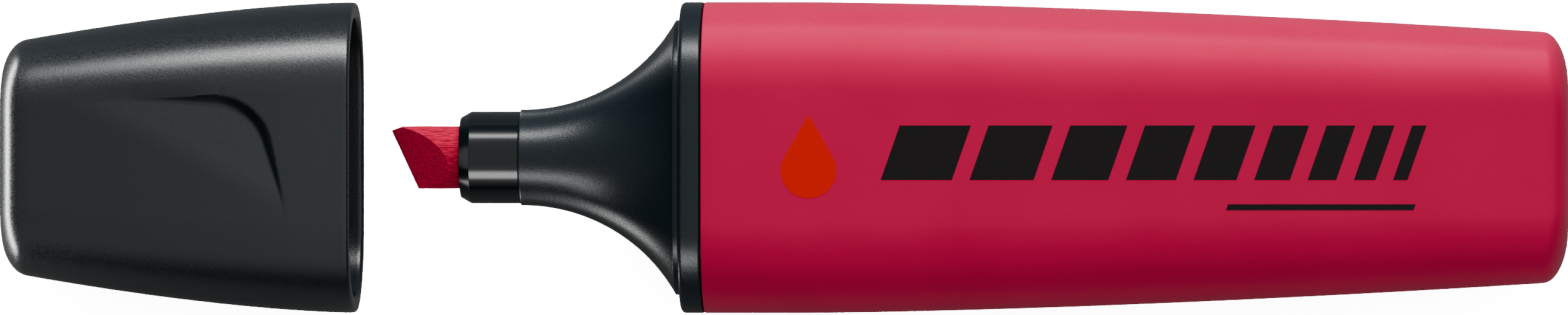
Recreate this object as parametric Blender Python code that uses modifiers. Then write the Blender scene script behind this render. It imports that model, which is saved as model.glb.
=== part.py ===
"""Felt tip marker with a chisel nib and a pull-off cap, modelled with the cap drawn off the nib.

The marker lies on its broad face. X runs along its axis, from the cap's closed end at -X to the
barrel's closed end at +X. Y runs across its width and Z is up. The origin is on the surface that it
lies on, in the middle of its length and width. Sizes are in metres.
"""

from itertools import pairwise
from math import asin, cos, hypot, pi, radians, sin, tan

import bmesh
import bpy
from mathutils import Matrix, Vector

# ---- Sizes shared by the barrel, the flange and the cap's mouth ----
BODY_WIDTH = 0.0265
BODY_THICKNESS = 0.0170
SIDE_FLAT = 0.0022  # height of the straight strip down each narrow side
TAPER_POWER = 1.57  # how slowly the barrel and the cap leave their full size

# ---- Clearances ----
SEAM_GAP = 0.0001  # between two pieces that meet in a visible seam
FIT_GAP = 0.0003  # between two pieces that fit inside the marker
SEAT_GAP = 0.0003  # between the closed cap's mouth and the flange
CAP_CLEARANCE = 0.00015  # round the land that the cap slides over
NIB_CLEARANCE = 0.00015  # round the nib in its holder
SHANK_CLEARANCE = 0.00015  # round the nib holder's shank
SEAL_CLEARANCE = 0.0001  # round the nozzle inside the cap's inner seal
EMBED = 0.0003  # how far a rib sinks into the wall that it grows from

# ---- Barrel, measured from its mouth ----
BARREL_LENGTH = 0.0733
BARREL_END_WIDTH = 0.0211  # at the closed end, before its edge is rounded
BARREL_END_THICKNESS = 0.0136
BARREL_WALL = 0.0012
BARREL_WIDE_LENGTH = 0.0073  # it keeps its full width this far
BARREL_THICK_LENGTH = 0.0240  # and its full thickness this far, so that the marker lies level
BARREL_END_ROUND = (0.0021, 0.0044, 0.0026)  # round the closed end: along X, Y and Z
BARREL_MOUTH_BEVEL = 0.00015
RIB_HEIGHT = 0.0005  # least height of the ribs that hold the ink reservoir
RIB_THICKNESS = 0.0010
BROAD_RIB_Y = 0.0035  # of the ribs inside the broad faces, from the middle
STOP_WIDTH = 0.0080  # of the blade on the end wall that stops the reservoir

# ---- Front section, measured from the flange's front face ----
FLANGE_LENGTH = 0.0019
FLANGE_ROUND = 0.00045
FLANGE_REAR_BEVEL = 0.00017
LAND_LENGTH = 0.0005
FUNNEL_LENGTH = 0.01308
FUNNEL_WALL = 0.0013
NECK_LENGTH = 0.0002
NECK_BEVEL = 0.00015
NECK_STEP = 0.00019  # how far the neck stands out from the nozzle in front of it
SKIRT_LENGTH = 0.0060  # of the plug inside the barrel's mouth
SKIRT_WALL = 0.0011
SKIRT_LEAD_IN = 0.0004
SNAP_BEAD = 0.00015  # height of the two beads round the skirt
SNAP_BEAD_LENGTH = 0.0008

# ---- Nib and nib holder ----
NIB_RADIUS = 0.00268
NIB_EXPOSED = 0.0049  # from the nozzle to the middle of the writing edge
NIB_SLANT = radians(24.9)  # of the writing edge, from square
NIB_FACET_ANGLE = radians(37.5)  # of each writing facet, from the axis
NIB_EDGE = 0.00012  # thickness of the writing edge
NIB_TRIM_DEPTH = 0.00037  # of the small cut at the writing edge's long corner
NIB_TRIM_ANGLE = radians(20)
NIB_TAIL_RADIUS = 0.0018
NIB_TAIL_CONE = 0.0020
NIB_TAIL_DEPTH = 0.0060  # how far the tail goes into the reservoir
NOZZLE_LENGTH = 0.0050
NOZZLE_WALL = 0.0011
NOZZLE_CHAMFER = (0.0009, 0.00051)  # along the axis and off the radius
SHANK_LENGTH = 0.0080
SHANK_WALL = 0.00052

# ---- Ink reservoir ----
FILM_THICKNESS = 0.0003
RESERVOIR_EDGE = 0.0004  # chamfer round the ends of its fibre core

# ---- Cap, measured from its mouth ----
CAP_WALL = 0.0014
CAP_END_WIDTH = 0.0195  # at the closed end, before its edge is rounded
CAP_THICK_LENGTH = 0.0040  # it keeps its full thickness this far
CAP_END_ROUND = (0.0020, 0.0029, 0.0029)
CAP_MOUTH_BEVEL = 0.00030
CAP_PULLED = 0.0276  # from its closed place to where it lies
NIB_ROOM = 0.0021  # between the nib and the seal's floor when the cap is closed
SEAL_WALL = 0.0009
SEAL_FLOOR = 0.0008
SEAL_STANDOFF = 0.0012  # between the seal's floor and the cap's end wall
SEAL_SETBACK = 0.0004  # of the seal's mouth from the funnel when the cap is closed
SEAL_LEAD_IN = 0.0003
STUB_RADIUS = 0.0025
FIN_THICKNESS = 0.0010
FIN_Z = 0.0020  # of each fin that holds the seal, above and below the axis
FIN_SETBACK = 0.0020  # of the fins' ends from the seal's mouth

# ---- Finger recess in each broad face of the cap, as (x, y) on the face ----
RECESS_CORNER = (-0.0086, 0.0043)  # where it is deepest
RECESS_DEPTH = 0.0009
RECESS_FADE_TOP = (-0.0248, 0.0053)  # where its long edge runs out
RECESS_FADE_FRONT = (-0.0061, -0.0050)  # where its short edge runs out
RECESS_ROUND = 0.0032
RECESS_SLOPE = 0.0009  # width of the sloping step at its edge
RECESS_BLOCK = (0.022, 0.018, 0.004)

# ---- Fineness of the curves ----
CORNER_STEPS = 8
FLAT_STEPS = 6  # across the broad side, where the funnel turns round
END_STEPS = 5
TURN_STEPS = 32
BARREL_STATIONS = 12
CAP_STATIONS = 8
FUNNEL_STATIONS = 12

# ---- Sizes that follow from these ----
HALF_WIDTH = BODY_WIDTH / 2
HALF_THICKNESS = BODY_THICKNESS / 2

NIB_BORE = NIB_RADIUS + NIB_CLEARANCE
NOZZLE_RADIUS = NIB_BORE + NOZZLE_WALL
NECK_RADIUS = NOZZLE_RADIUS + NECK_STEP
SHANK_RADIUS = NIB_BORE + SHANK_WALL
SHANK_BORE = SHANK_RADIUS + SHANK_CLEARANCE

FUNNEL_REAR_X = -LAND_LENGTH
FUNNEL_FRONT_X = FUNNEL_REAR_X - FUNNEL_LENGTH
NECK_X = FUNNEL_FRONT_X - NECK_LENGTH
NOZZLE_REAR_X = NECK_X - SEAM_GAP
NOZZLE_X = NOZZLE_REAR_X - NOZZLE_LENGTH
EDGE_X = NOZZLE_X - NIB_EXPOSED
NIB_TIP_X = EDGE_X - (NIB_RADIUS - NIB_TRIM_DEPTH) * tan(NIB_SLANT)
LAND_INSET = CAP_WALL + CAP_CLEARANCE

BARREL_X = FLANGE_LENGTH + SEAM_GAP
BARREL_END_X = BARREL_X + BARREL_LENGTH
SKIRT_INSET = BARREL_WALL + FIT_GAP
SKIRT_END_X = FLANGE_LENGTH + SKIRT_LENGTH
RESERVOIR_X = SKIRT_END_X + FIT_GAP
RESERVOIR_END_X = BARREL_END_X - BARREL_END_ROUND[0] - FIT_GAP

SEAL_BORE = NOZZLE_RADIUS + SEAL_CLEARANCE
SEAL_RADIUS = SEAL_BORE + SEAL_WALL
SEAL_MOUTH_X = NOZZLE_REAR_X + SEAT_GAP - SEAL_SETBACK
SEAL_FLOOR_X = NIB_TIP_X + SEAT_GAP - NIB_ROOM
SEAL_END_X = SEAL_FLOOR_X - SEAL_FLOOR
CAP_INNER_X = SEAL_END_X - SEAL_STANDOFF
CAP_END_X = CAP_INNER_X - CAP_WALL
CAP_END_THICKNESS = 2 * (SEAL_RADIUS + FIT_GAP + CAP_WALL)

TOTAL_LENGTH = BARREL_END_X + SEAT_GAP + CAP_PULLED - CAP_END_X
FLANGE_X = TOTAL_LENGTH / 2 - BARREL_END_X
CAP_MOUTH_X = FLANGE_X - SEAT_GAP - CAP_PULLED
AXIS_HEIGHT = HALF_THICKNESS


# ---- Scene, collections and materials ----


def clear_scene():
    for obj in list(bpy.data.objects):
        bpy.data.objects.remove(obj, do_unlink=True)


def new_collection(name):
    collection = bpy.data.collections.new(name)
    bpy.context.scene.collection.children.link(collection)
    return collection


def linear(hex_colour):
    """A hex sRGB colour as linear red, green, blue and alpha."""
    channels = [int(hex_colour[i : i + 2], 16) / 255 for i in (0, 2, 4)]
    return [c / 12.92 if c <= 0.04045 else ((c + 0.055) / 1.055) ** 2.4 for c in channels] + [1]


def plastic(name, hex_colour, roughness):
    material = bpy.data.materials.new(name)
    material.use_nodes = True
    shader = material.node_tree.nodes["Principled BSDF"]
    shader.inputs["Base Color"].default_value = linear(hex_colour)
    shader.inputs["Roughness"].default_value = roughness
    shader.inputs["Metallic"].default_value = 0
    return material


def axis_empty(name, location):
    empty = bpy.data.objects.new(name, None)
    empty.empty_display_size = 0.01
    empty.location = location
    PARTS.objects.link(empty)
    return empty


def place(obj, axis, material):
    """Gives a finished piece its parent axis and its material."""
    obj.parent = axis
    obj.data.materials.append(material)
    return obj


def hide_tool(obj, axis):
    """Makes an object a tool for Boolean modifiers, left out of the model."""
    obj.parent = axis
    obj.hide_render = True
    obj.display_type = "WIRE"
    for collection in list(obj.users_collection):
        collection.objects.unlink(obj)
    CUTTERS.objects.link(obj)
    return obj


def combine(obj, tool, operation):
    modifier = obj.modifiers.new(f"{operation.lower()} {tool.name}", "BOOLEAN")
    modifier.operation = operation
    modifier.solver = "EXACT"
    modifier.object = tool


# ---- Cross-sections: rings of (y, z) points round the axis ----


def section(half_width, half_thickness, flat_steps=1):
    """A rectangle with round corners, anticlockwise seen from +X."""
    corner = half_thickness - SIDE_FLAT / 2
    flat = half_width - corner
    points = []
    for quarter in range(4):
        side = 1 if quarter in (0, 3) else -1
        top = 1 if quarter < 2 else -1
        for step in range(CORNER_STEPS + 1):
            angle = (quarter + step / CORNER_STEPS) * pi / 2
            y = side * flat + corner * cos(angle)
            z = top * SIDE_FLAT / 2 + corner * sin(angle)
            points.append((y, z))
        if quarter in (0, 2):
            points += [
                (side * flat * (1 - 2 * step / flat_steps), top * half_thickness)
                for step in range(1, flat_steps)
            ]
    return points


def body_section(inset, flat_steps=1):
    """The flange's outline, drawn in by the inset."""
    return section(HALF_WIDTH - inset, HALF_THICKNESS - inset, flat_steps)


def round_section(radius):
    """A circle whose points lie in the same directions as the land's."""
    ring = body_section(LAND_INSET, FLAT_STEPS)
    return [(radius * y / hypot(y, z), radius * z / hypot(y, z)) for y, z in ring]


def block_section(low_y, high_y, low_z, high_z):
    return [(high_y, low_z), (high_y, high_z), (low_y, high_z), (low_y, low_z)]


def tapered(full, end, share):
    """A size on its way from full to end, which it reaches where share is 1."""
    return full - (full - end) * max(share, 0.0) ** TAPER_POWER


def barrel_half_sizes(x):
    """Half the barrel's width and thickness at x from the flange, before its end is rounded."""
    x -= BARREL_X
    wide = (x - BARREL_WIDE_LENGTH) / (BARREL_LENGTH - BARREL_WIDE_LENGTH)
    thick = (x - BARREL_THICK_LENGTH) / (BARREL_LENGTH - BARREL_THICK_LENGTH)
    width = tapered(BODY_WIDTH, BARREL_END_WIDTH, wide)
    return width / 2, tapered(BODY_THICKNESS, BARREL_END_THICKNESS, thick) / 2


def cap_half_sizes(x):
    """The same for the cap, at x from its mouth."""
    thick = (x + CAP_THICK_LENGTH) / (CAP_END_X + CAP_THICK_LENGTH)
    width = tapered(BODY_WIDTH, CAP_END_WIDTH, x / CAP_END_X)
    return width / 2, tapered(BODY_THICKNESS, CAP_END_THICKNESS, thick) / 2


def rounded_end(half_sizes, end_x, mouth_x, rounding):
    """Stations (x, section) round a closed end's elliptical edge, from the side to the end face."""
    along, across, through = rounding
    outward = 1 if end_x > mouth_x else -1
    stations = []
    for step in range(END_STEPS + 1):
        angle = step / END_STEPS * pi / 2
        x = end_x - outward * along * (1 - sin(angle))
        half_width, half_thickness = half_sizes(x)
        half_width -= across * (1 - cos(angle))
        half_thickness -= through * (1 - cos(angle))
        stations.append((x, section(half_width, half_thickness)))
    return stations


# ---- Meshes ----


def add_rings(bm, stations, closed_ends=(False, False), around=False):
    """Joins the stations' rings by faces, in order of rising x, or around into a tube's wall."""
    rings = [[bm.verts.new((x, y, z)) for y, z in ring] for x, ring in stations]
    for ring, following in pairwise(rings + rings[:1] if around else rings):
        for i, vert in enumerate(ring):
            j = (i + 1) % len(ring)
            bm.faces.new((vert, ring[j], following[j], following[i]))
    if closed_ends[0]:
        bm.faces.new(reversed(rings[0]))
    if closed_ends[1]:
        bm.faces.new(rings[-1])


def object_from(bm, name):
    mesh = bpy.data.meshes.new(name)
    bm.to_mesh(mesh)
    bm.free()
    mesh.shade_smooth()
    mesh.set_sharp_from_angle(angle=radians(30))
    obj = bpy.data.objects.new(name, mesh)
    PARTS.objects.link(obj)
    return obj


def lofted(name, stations, closed_ends=(False, False), around=False):
    bm = bmesh.new()
    add_rings(bm, stations, closed_ends, around)
    if around:
        bmesh.ops.recalc_face_normals(bm, faces=bm.faces)
    return object_from(bm, name)


def turned(name, profile, closed):
    """A shape turned about the X axis from (x, radius) points that run along its outside to -X."""
    bm = bmesh.new()
    verts = [bm.verts.new((radius, 0, x)) for x, radius in profile]
    for vert, following in pairwise(verts + verts[:1] if closed else verts):
        bm.edges.new((vert, following))
    obj = object_from(bm, name)
    obj.rotation_euler = (0, pi / 2, 0)
    screw = obj.modifiers.new("turn", "SCREW")
    screw.axis = "Z"
    screw.steps = screw.render_steps = TURN_STEPS
    screw.use_merge_vertices = True
    screw.merge_threshold = 1e-6
    screw.use_smooth_shade = True
    return obj


def block(name, size, low_corner):
    """A box primitive with its lowest corner at low_corner."""
    bm = bmesh.new()
    bmesh.ops.create_cube(bm, size=1)
    bmesh.ops.scale(bm, vec=size, verts=bm.verts)
    bmesh.ops.translate(bm, vec=Vector(low_corner) + Vector(size) / 2, verts=bm.verts)
    return object_from(bm, name)


def wall(obj, thickness, offset):
    """Gives a skin its thickness: offset -1 grows inwards and 1 outwards."""
    solidify = obj.modifiers.new("wall", "SOLIDIFY")
    solidify.thickness = thickness
    solidify.offset = offset
    solidify.use_even_offset = True
    solidify.use_quality_normals = True


def round_rim(obj, width):
    bevel = obj.modifiers.new("rim", "BEVEL")
    bevel.width = width
    bevel.segments = 2
    bevel.limit_method = "ANGLE"
    bevel.angle_limit = radians(70)


# ---- Marker ----


def make_barrel():
    """The ink-coloured shell: open at the flange, closed and rounded at the far end."""
    straight = BARREL_LENGTH - BARREL_END_ROUND[0]
    stations = []
    for step in range(BARREL_STATIONS):
        x = BARREL_X + straight * step / BARREL_STATIONS
        stations.append((x, section(*barrel_half_sizes(x))))
    stations += rounded_end(barrel_half_sizes, BARREL_END_X, BARREL_X, BARREL_END_ROUND)
    barrel = lofted("barrel", stations, closed_ends=(False, True))
    wall(barrel, BARREL_WALL, -1)
    round_rim(barrel, BARREL_MOUTH_BEVEL)
    combine(barrel, make_barrel_ribs(), "UNION")
    return barrel


def reservoir_half_sizes(inset):
    """Half sizes of the reservoir's space between the ribs, drawn in by the inset."""
    half_width, half_thickness = barrel_half_sizes(RESERVOIR_END_X)
    margin = BARREL_WALL + RIB_HEIGHT + inset
    return half_width - margin, half_thickness - margin


def make_barrel_ribs():
    """Six ribs along the barrel that hold the reservoir, and the blade that stops its end."""
    start = SKIRT_END_X + FIT_GAP
    end = BARREL_END_X - BARREL_END_ROUND[0]
    inner_y, inner_z = reservoir_half_sizes(0)
    half = RIB_THICKNESS / 2
    bm = bmesh.new()
    for side in (-1, 1):
        narrow, broad = [], {-1: [], 1: []}
        for step in range(BARREL_STATIONS + 1):
            x = start + (end - start) * step / BARREL_STATIONS
            outer_y, outer_z = (size - BARREL_WALL + EMBED for size in barrel_half_sizes(x))
            low, high = sorted((side * inner_y, side * outer_y))
            narrow.append((x, block_section(low, high, -half, half)))
            low, high = sorted((side * inner_z, side * outer_z))
            for hand, stations in broad.items():
                y = hand * BROAD_RIB_Y
                stations.append((x, block_section(y - half, y + half, low, high)))
        for stations in (narrow, *broad.values()):
            add_rings(bm, stations, closed_ends=(True, True))
    blade = block_section(-STOP_WIDTH / 2, STOP_WIDTH / 2, -half, half)
    blade_ends = (RESERVOIR_END_X + FIT_GAP, BARREL_END_X - BARREL_WALL + EMBED)
    add_rings(bm, [(x, blade) for x in blade_ends], closed_ends=(True, True))
    return hide_tool(object_from(bm, "barrel_ribs"), MARKER_AXIS)


def make_front_section():
    """Funnel, land, flange and the skirt that plugs the barrel, as one tube of unlike sections."""
    land = body_section(LAND_INSET, FLAT_STEPS)
    land_inside = body_section(LAND_INSET + FUNNEL_WALL, FLAT_STEPS)
    skirt = body_section(SKIRT_INSET, FLAT_STEPS)
    skirt_inside = body_section(SKIRT_INSET + SKIRT_WALL, FLAT_STEPS)
    bead = body_section(SKIRT_INSET - SNAP_BEAD, FLAT_STEPS)

    rise = HALF_WIDTH - LAND_INSET - NECK_RADIUS
    arc_radius = (FUNNEL_LENGTH**2 + rise**2) / (2 * rise)
    arc_angle = asin(FUNNEL_LENGTH / arc_radius)

    def funnel(inside):
        """Stations on the concave funnel, or on its inner face, from the neck to the land."""
        found = []
        for step in range(FUNNEL_STATIONS + 1):
            angle = arc_angle * step / FUNNEL_STATIONS
            share = arc_radius * (1 - cos(angle)) / rise
            x = FUNNEL_FRONT_X + arc_radius * sin(angle)
            if inside:
                x += FUNNEL_WALL * sin(angle)
                small, large = round_section(SHANK_BORE), land_inside
            else:
                small, large = round_section(NECK_RADIUS), land
            ring = [
                (a + (c - a) * share, b + (d - b) * share)
                for (a, b), (c, d) in zip(small, large)
            ]
            found.append((x, ring))
        return found

    outside = [
        (NECK_X, round_section(NECK_RADIUS - NECK_BEVEL)),
        (NECK_X + NECK_BEVEL, round_section(NECK_RADIUS)),
        *funnel(inside=False),
        (0, land),
    ]
    for step in range(END_STEPS):
        angle = step / (END_STEPS - 1) * pi / 2
        inset = FLANGE_ROUND * (1 - sin(angle))
        outside.append((FLANGE_ROUND * (1 - cos(angle)), body_section(inset, FLAT_STEPS)))
    outside += [
        (FLANGE_LENGTH - FLANGE_REAR_BEVEL, body_section(0, FLAT_STEPS)),
        (FLANGE_LENGTH, body_section(FLANGE_REAR_BEVEL, FLAT_STEPS)),
        (FLANGE_LENGTH, skirt),
    ]
    for middle in (FLANGE_LENGTH + SKIRT_LENGTH * share for share in (1 / 3, 2 / 3)):
        outside += [
            (middle - SNAP_BEAD_LENGTH / 2, skirt),
            (middle, bead),
            (middle + SNAP_BEAD_LENGTH / 2, skirt),
        ]
    lead_in = body_section(SKIRT_INSET + SKIRT_LEAD_IN, FLAT_STEPS)
    outside += [(SKIRT_END_X - SKIRT_LEAD_IN, skirt), (SKIRT_END_X, lead_in)]

    inside = [(SKIRT_END_X, skirt_inside), (FLANGE_LENGTH, skirt_inside)]
    inside += reversed(funnel(inside=True))
    inside.append((NECK_X, round_section(SHANK_BORE)))
    return lofted("front_section", outside + inside, around=True)


def make_nib_holder():
    """The polished nozzle, with the shank that is pushed into the front section's neck."""
    along, off = NOZZLE_CHAMFER
    end = NOZZLE_REAR_X + SHANK_LENGTH
    profile = [
        (end, NIB_BORE),
        (end, SHANK_RADIUS),
        (NOZZLE_REAR_X, SHANK_RADIUS),
        (NOZZLE_REAR_X, NOZZLE_RADIUS),
        (NOZZLE_X + along, NOZZLE_RADIUS),
        (NOZZLE_X, NOZZLE_RADIUS - off),
        (NOZZLE_X, NIB_BORE),
    ]
    return turned("nib_holder", profile, closed=True)


def make_nib():
    """A round felt rod, cut to a slanted chisel at the front, with a thinner tail."""
    tail_x = RESERVOIR_X - FIT_GAP
    end = RESERVOIR_X + NIB_TAIL_DEPTH
    blank_x = EDGE_X - NIB_RADIUS
    profile = [
        (end, 0),
        (end, NIB_TAIL_RADIUS),
        (tail_x, NIB_TAIL_RADIUS),
        (tail_x - NIB_TAIL_CONE, NIB_RADIUS),
        (blank_x, NIB_RADIUS),
        (blank_x, 0),
    ]
    nib = turned("nib", profile, closed=False)

    # The wedge opens at the facets' angles from the writing edge, and holds the whole rod behind it.
    length = end - blank_x
    breadth = 2 * length
    wedge = block("writing_wedge", (length, breadth, NIB_EDGE), (0, -breadth / 2, -NIB_EDGE / 2))
    for vert in wedge.data.vertices:
        if vert.co.x > 0:
            vert.co.z *= 1 + 2 * length * tan(NIB_FACET_ANGLE) / NIB_EDGE
    wedge.location = (EDGE_X, 0, 0)
    wedge.rotation_euler = (0, 0, NIB_SLANT)
    combine(nib, hide_tool(wedge, MARKER_AXIS), "INTERSECT")
    reach = 4 * NIB_RADIUS
    trim = block("long_corner", (2 * reach, reach, 2 * reach), (-reach, 0, -reach))
    corner_y = NIB_RADIUS - NIB_TRIM_DEPTH
    trim.location = (NIB_TIP_X, corner_y, 0)
    trim.rotation_euler = (0, 0, NIB_TRIM_ANGLE)
    combine(nib, hide_tool(trim, MARKER_AXIS), "DIFFERENCE")
    return nib


def make_reservoir_core():
    """The fibre block that holds the ink, with a socket for the nib's tail."""
    inset = 2 * FIT_GAP + FILM_THICKNESS
    full = section(*reservoir_half_sizes(inset))
    edge = section(*reservoir_half_sizes(inset + RESERVOIR_EDGE))
    stations = [
        (RESERVOIR_X, edge),
        (RESERVOIR_X + RESERVOIR_EDGE, full),
        (RESERVOIR_END_X - RESERVOIR_EDGE, full),
        (RESERVOIR_END_X, edge),
    ]
    core = lofted("reservoir_core", stations, closed_ends=(True, True))
    end = RESERVOIR_X + NIB_TAIL_DEPTH + FIT_GAP
    start = RESERVOIR_X - NIB_TAIL_DEPTH
    radius = NIB_TAIL_RADIUS + FIT_GAP
    profile = [(end, 0), (end, radius), (start, radius), (start, 0)]
    socket = hide_tool(turned("tail_socket", profile, closed=False), MARKER_AXIS)
    combine(core, socket, "DIFFERENCE")
    return core


def make_reservoir_film():
    """The plastic film round the fibre block, open at both ends."""
    sleeve = section(*reservoir_half_sizes(FIT_GAP + FILM_THICKNESS))
    film = lofted("reservoir_film", [(RESERVOIR_X, sleeve), (RESERVOIR_END_X, sleeve)])
    wall(film, FILM_THICKNESS, 1)
    return film


# ---- Cap ----


def make_cap_shell():
    """The cap's outer shell: closed at -X, with fins and a stub inside for its inner seal."""
    stations = rounded_end(cap_half_sizes, CAP_END_X, 0, CAP_END_ROUND)[::-1]
    straight = -CAP_END_X - CAP_END_ROUND[0]
    for step in range(1, CAP_STATIONS + 1):
        x = -straight * (1 - step / CAP_STATIONS)
        stations.append((x, section(*cap_half_sizes(x))))
    cap = lofted("cap_shell", stations, closed_ends=(True, False))
    wall(cap, CAP_WALL, -1)
    round_rim(cap, CAP_MOUTH_BEVEL)
    combine(cap, make_cap_fins(), "UNION")
    for hand, name in ((1, "upper_recess"), (-1, "lower_recess")):
        combine(cap, make_recess_tool(name, hand), "DIFFERENCE")
    return cap


def make_cap_fins():
    """Four fins from the narrow walls to the seal, and the stub that its floor stands on."""
    bm = bmesh.new()
    start, end = CAP_INNER_X - EMBED, SEAL_MOUTH_X - FIN_SETBACK
    inner = SEAL_RADIUS + FIT_GAP
    half = FIN_THICKNESS / 2
    for side in (-1, 1):
        for z in (-FIN_Z, FIN_Z):
            stations = []
            for step in range(CAP_STATIONS + 1):
                x = start + (end - start) * step / CAP_STATIONS
                outer = cap_half_sizes(x)[0] - CAP_WALL + EMBED
                low, high = sorted((side * inner, side * outer))
                stations.append((x, block_section(low, high, z - half, z + half)))
            add_rings(bm, stations, closed_ends=(True, True))
    stub_length = SEAL_STANDOFF - FIT_GAP + EMBED
    middle = CAP_INNER_X - EMBED + stub_length / 2
    bmesh.ops.create_cone(
        bm,
        cap_ends=True,
        segments=TURN_STEPS,
        radius1=STUB_RADIUS,
        radius2=STUB_RADIUS,
        depth=stub_length,
        matrix=Matrix.Translation((middle, 0, 0)) @ Matrix.Rotation(pi / 2, 4, "Y"),
    )
    return hide_tool(object_from(bm, "cap_fins"), CAP_AXIS)


def make_recess_tool(name, hand):
    """A block with one round corner, whose lower face is the recess's tilted floor."""

    def on_face(point):
        return Vector((*point, cap_half_sizes(point[0])[1]))

    corner = on_face(RECESS_CORNER) - Vector((0, 0, RECESS_DEPTH))
    top, front = on_face(RECESS_FADE_TOP), on_face(RECESS_FADE_FRONT)
    up = (top - corner).cross(front - corner).normalized()
    along = (corner - top).normalized()
    across = up.cross(along)
    edge = front - corner
    lean = edge.dot(along) / -edge.dot(across)

    length, width, height = RECESS_BLOCK
    bm = bmesh.new()
    bmesh.ops.create_cube(bm, size=1)
    bmesh.ops.scale(bm, vec=(length, width, height), verts=bm.verts)
    bmesh.ops.translate(bm, vec=(-length / 2, -width / 2, height / 2), verts=bm.verts)
    for vert in bm.verts:
        if vert.co.x > -length / 2:
            vert.co.x -= lean * vert.co.y
    upright = [
        e
        for e in bm.edges
        if all(hypot(v.co.x, v.co.y) < length / 10 for v in e.verts)
    ]
    bmesh.ops.bevel(
        bm, geom=upright, offset=RECESS_ROUND, segments=6, profile=0.5, affect="EDGES"
    )
    floor_edges = [e for e in bm.edges if all(abs(v.co.z) < 1e-7 for v in e.verts)]
    bmesh.ops.bevel(
        bm, geom=floor_edges, offset=RECESS_SLOPE, segments=1, profile=0.5, affect="EDGES"
    )
    bm.transform(Matrix((along, across, up)).transposed().to_4x4())
    bmesh.ops.translate(bm, vec=corner, verts=bm.verts)
    if hand < 0:
        bmesh.ops.scale(bm, vec=(1, 1, -1), verts=bm.verts)
    bmesh.ops.recalc_face_normals(bm, faces=bm.faces)
    return hide_tool(object_from(bm, name), CAP_AXIS)


def make_cap_inner_seal():
    """The cup inside the cap that closes round the nozzle and keeps the nib from drying."""
    profile = [
        (SEAL_FLOOR_X, 0),
        (SEAL_FLOOR_X, SEAL_BORE),
        (SEAL_MOUTH_X - SEAL_LEAD_IN, SEAL_BORE),
        (SEAL_MOUTH_X, SEAL_BORE + SEAL_LEAD_IN),
        (SEAL_MOUTH_X, SEAL_RADIUS),
        (SEAL_END_X, SEAL_RADIUS),
        (SEAL_END_X, 0),
    ]
    return turned("cap_inner_seal", profile, closed=False)


# ---- Assembly ----

clear_scene()
PARTS = new_collection("felt_tip_marker")
CUTTERS = new_collection("cutters")
MARKER_AXIS = axis_empty("marker_axis", (FLANGE_X, 0, AXIS_HEIGHT))
CAP_AXIS = axis_empty("cap_axis", (CAP_MOUTH_X, 0, AXIS_HEIGHT))

BLACK_PLASTIC = plastic("black polypropylene", "1E2428", 0.42)

place(make_barrel(), MARKER_AXIS, plastic("crimson polypropylene", "B92547", 0.32))
place(make_front_section(), MARKER_AXIS, BLACK_PLASTIC)
place(make_nib_holder(), MARKER_AXIS, plastic("polished black plastic", "14191C", 0.12))
place(make_nib(), MARKER_AXIS, plastic("inked polyester fibre", "A8183A", 0.85))
place(make_reservoir_core(), MARKER_AXIS, plastic("ink-soaked fibre", "C22350", 0.95))
place(make_reservoir_film(), MARKER_AXIS, plastic("clear film", "E6E4E0", 0.25))
place(make_cap_shell(), CAP_AXIS, plastic("black cap polypropylene", "1E2428", 0.42))
place(make_cap_inner_seal(), CAP_AXIS, plastic("black polyethylene", "23282B", 0.50))
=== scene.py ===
# %% [markdown]
# # A felt tip marker with a chisel nib, its cap drawn off
# The real marker is a flat-sided moulded barrel with a flared black front, a polished nozzle, a felt nib
# and a satin black cap. The model that is loaded here has every piece in its place and at its size.
# This script gives each piece its fine surface and its finish, and sets up a plain studio round it.

# %% Load the fixed frame
from itertools import pairwise
from math import asin, cos, hypot, pi, radians, sin, sqrt, tan

import bmesh
import bpy
import numpy as np
from mathutils import Matrix, Vector, noise


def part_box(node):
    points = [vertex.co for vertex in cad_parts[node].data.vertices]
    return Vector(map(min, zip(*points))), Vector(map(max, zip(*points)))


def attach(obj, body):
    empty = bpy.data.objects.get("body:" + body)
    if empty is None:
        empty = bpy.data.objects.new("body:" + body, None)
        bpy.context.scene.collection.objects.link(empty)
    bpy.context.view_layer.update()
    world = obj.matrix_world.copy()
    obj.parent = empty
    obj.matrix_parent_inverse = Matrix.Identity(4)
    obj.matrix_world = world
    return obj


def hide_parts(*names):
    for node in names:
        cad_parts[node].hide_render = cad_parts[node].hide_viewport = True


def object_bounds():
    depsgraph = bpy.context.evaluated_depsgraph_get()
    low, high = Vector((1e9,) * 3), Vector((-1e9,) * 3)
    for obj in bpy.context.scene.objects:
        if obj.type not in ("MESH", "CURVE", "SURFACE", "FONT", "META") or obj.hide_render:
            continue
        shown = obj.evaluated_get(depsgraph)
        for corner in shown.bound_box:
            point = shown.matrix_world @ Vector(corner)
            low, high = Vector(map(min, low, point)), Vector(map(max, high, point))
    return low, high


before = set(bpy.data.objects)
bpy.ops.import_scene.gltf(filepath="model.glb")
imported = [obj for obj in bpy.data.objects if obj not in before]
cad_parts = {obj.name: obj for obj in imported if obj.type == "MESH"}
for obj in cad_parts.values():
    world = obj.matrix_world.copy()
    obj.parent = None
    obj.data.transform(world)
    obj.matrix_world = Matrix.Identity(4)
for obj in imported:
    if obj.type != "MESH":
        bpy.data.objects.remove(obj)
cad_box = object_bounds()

# %% [markdown]
# ## Sizes
# Lengths and places are read from the boxes of the loaded pieces, so that nothing here can drift from them.
# What a box can't tell, such as a wall's thickness or how a side curves, is a named value in metres.

# %% Sizes of the pieces
MM = 0.001  # Blender works in metres

barrel_low, barrel_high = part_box("barrel")
cap_low, cap_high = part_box("cap_shell")
front_low, front_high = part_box("front_section")
nozzle_low, nozzle_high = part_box("nib_holder")
nib_low, nib_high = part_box("nib")
seal_low, seal_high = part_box("cap_inner_seal")

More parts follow.
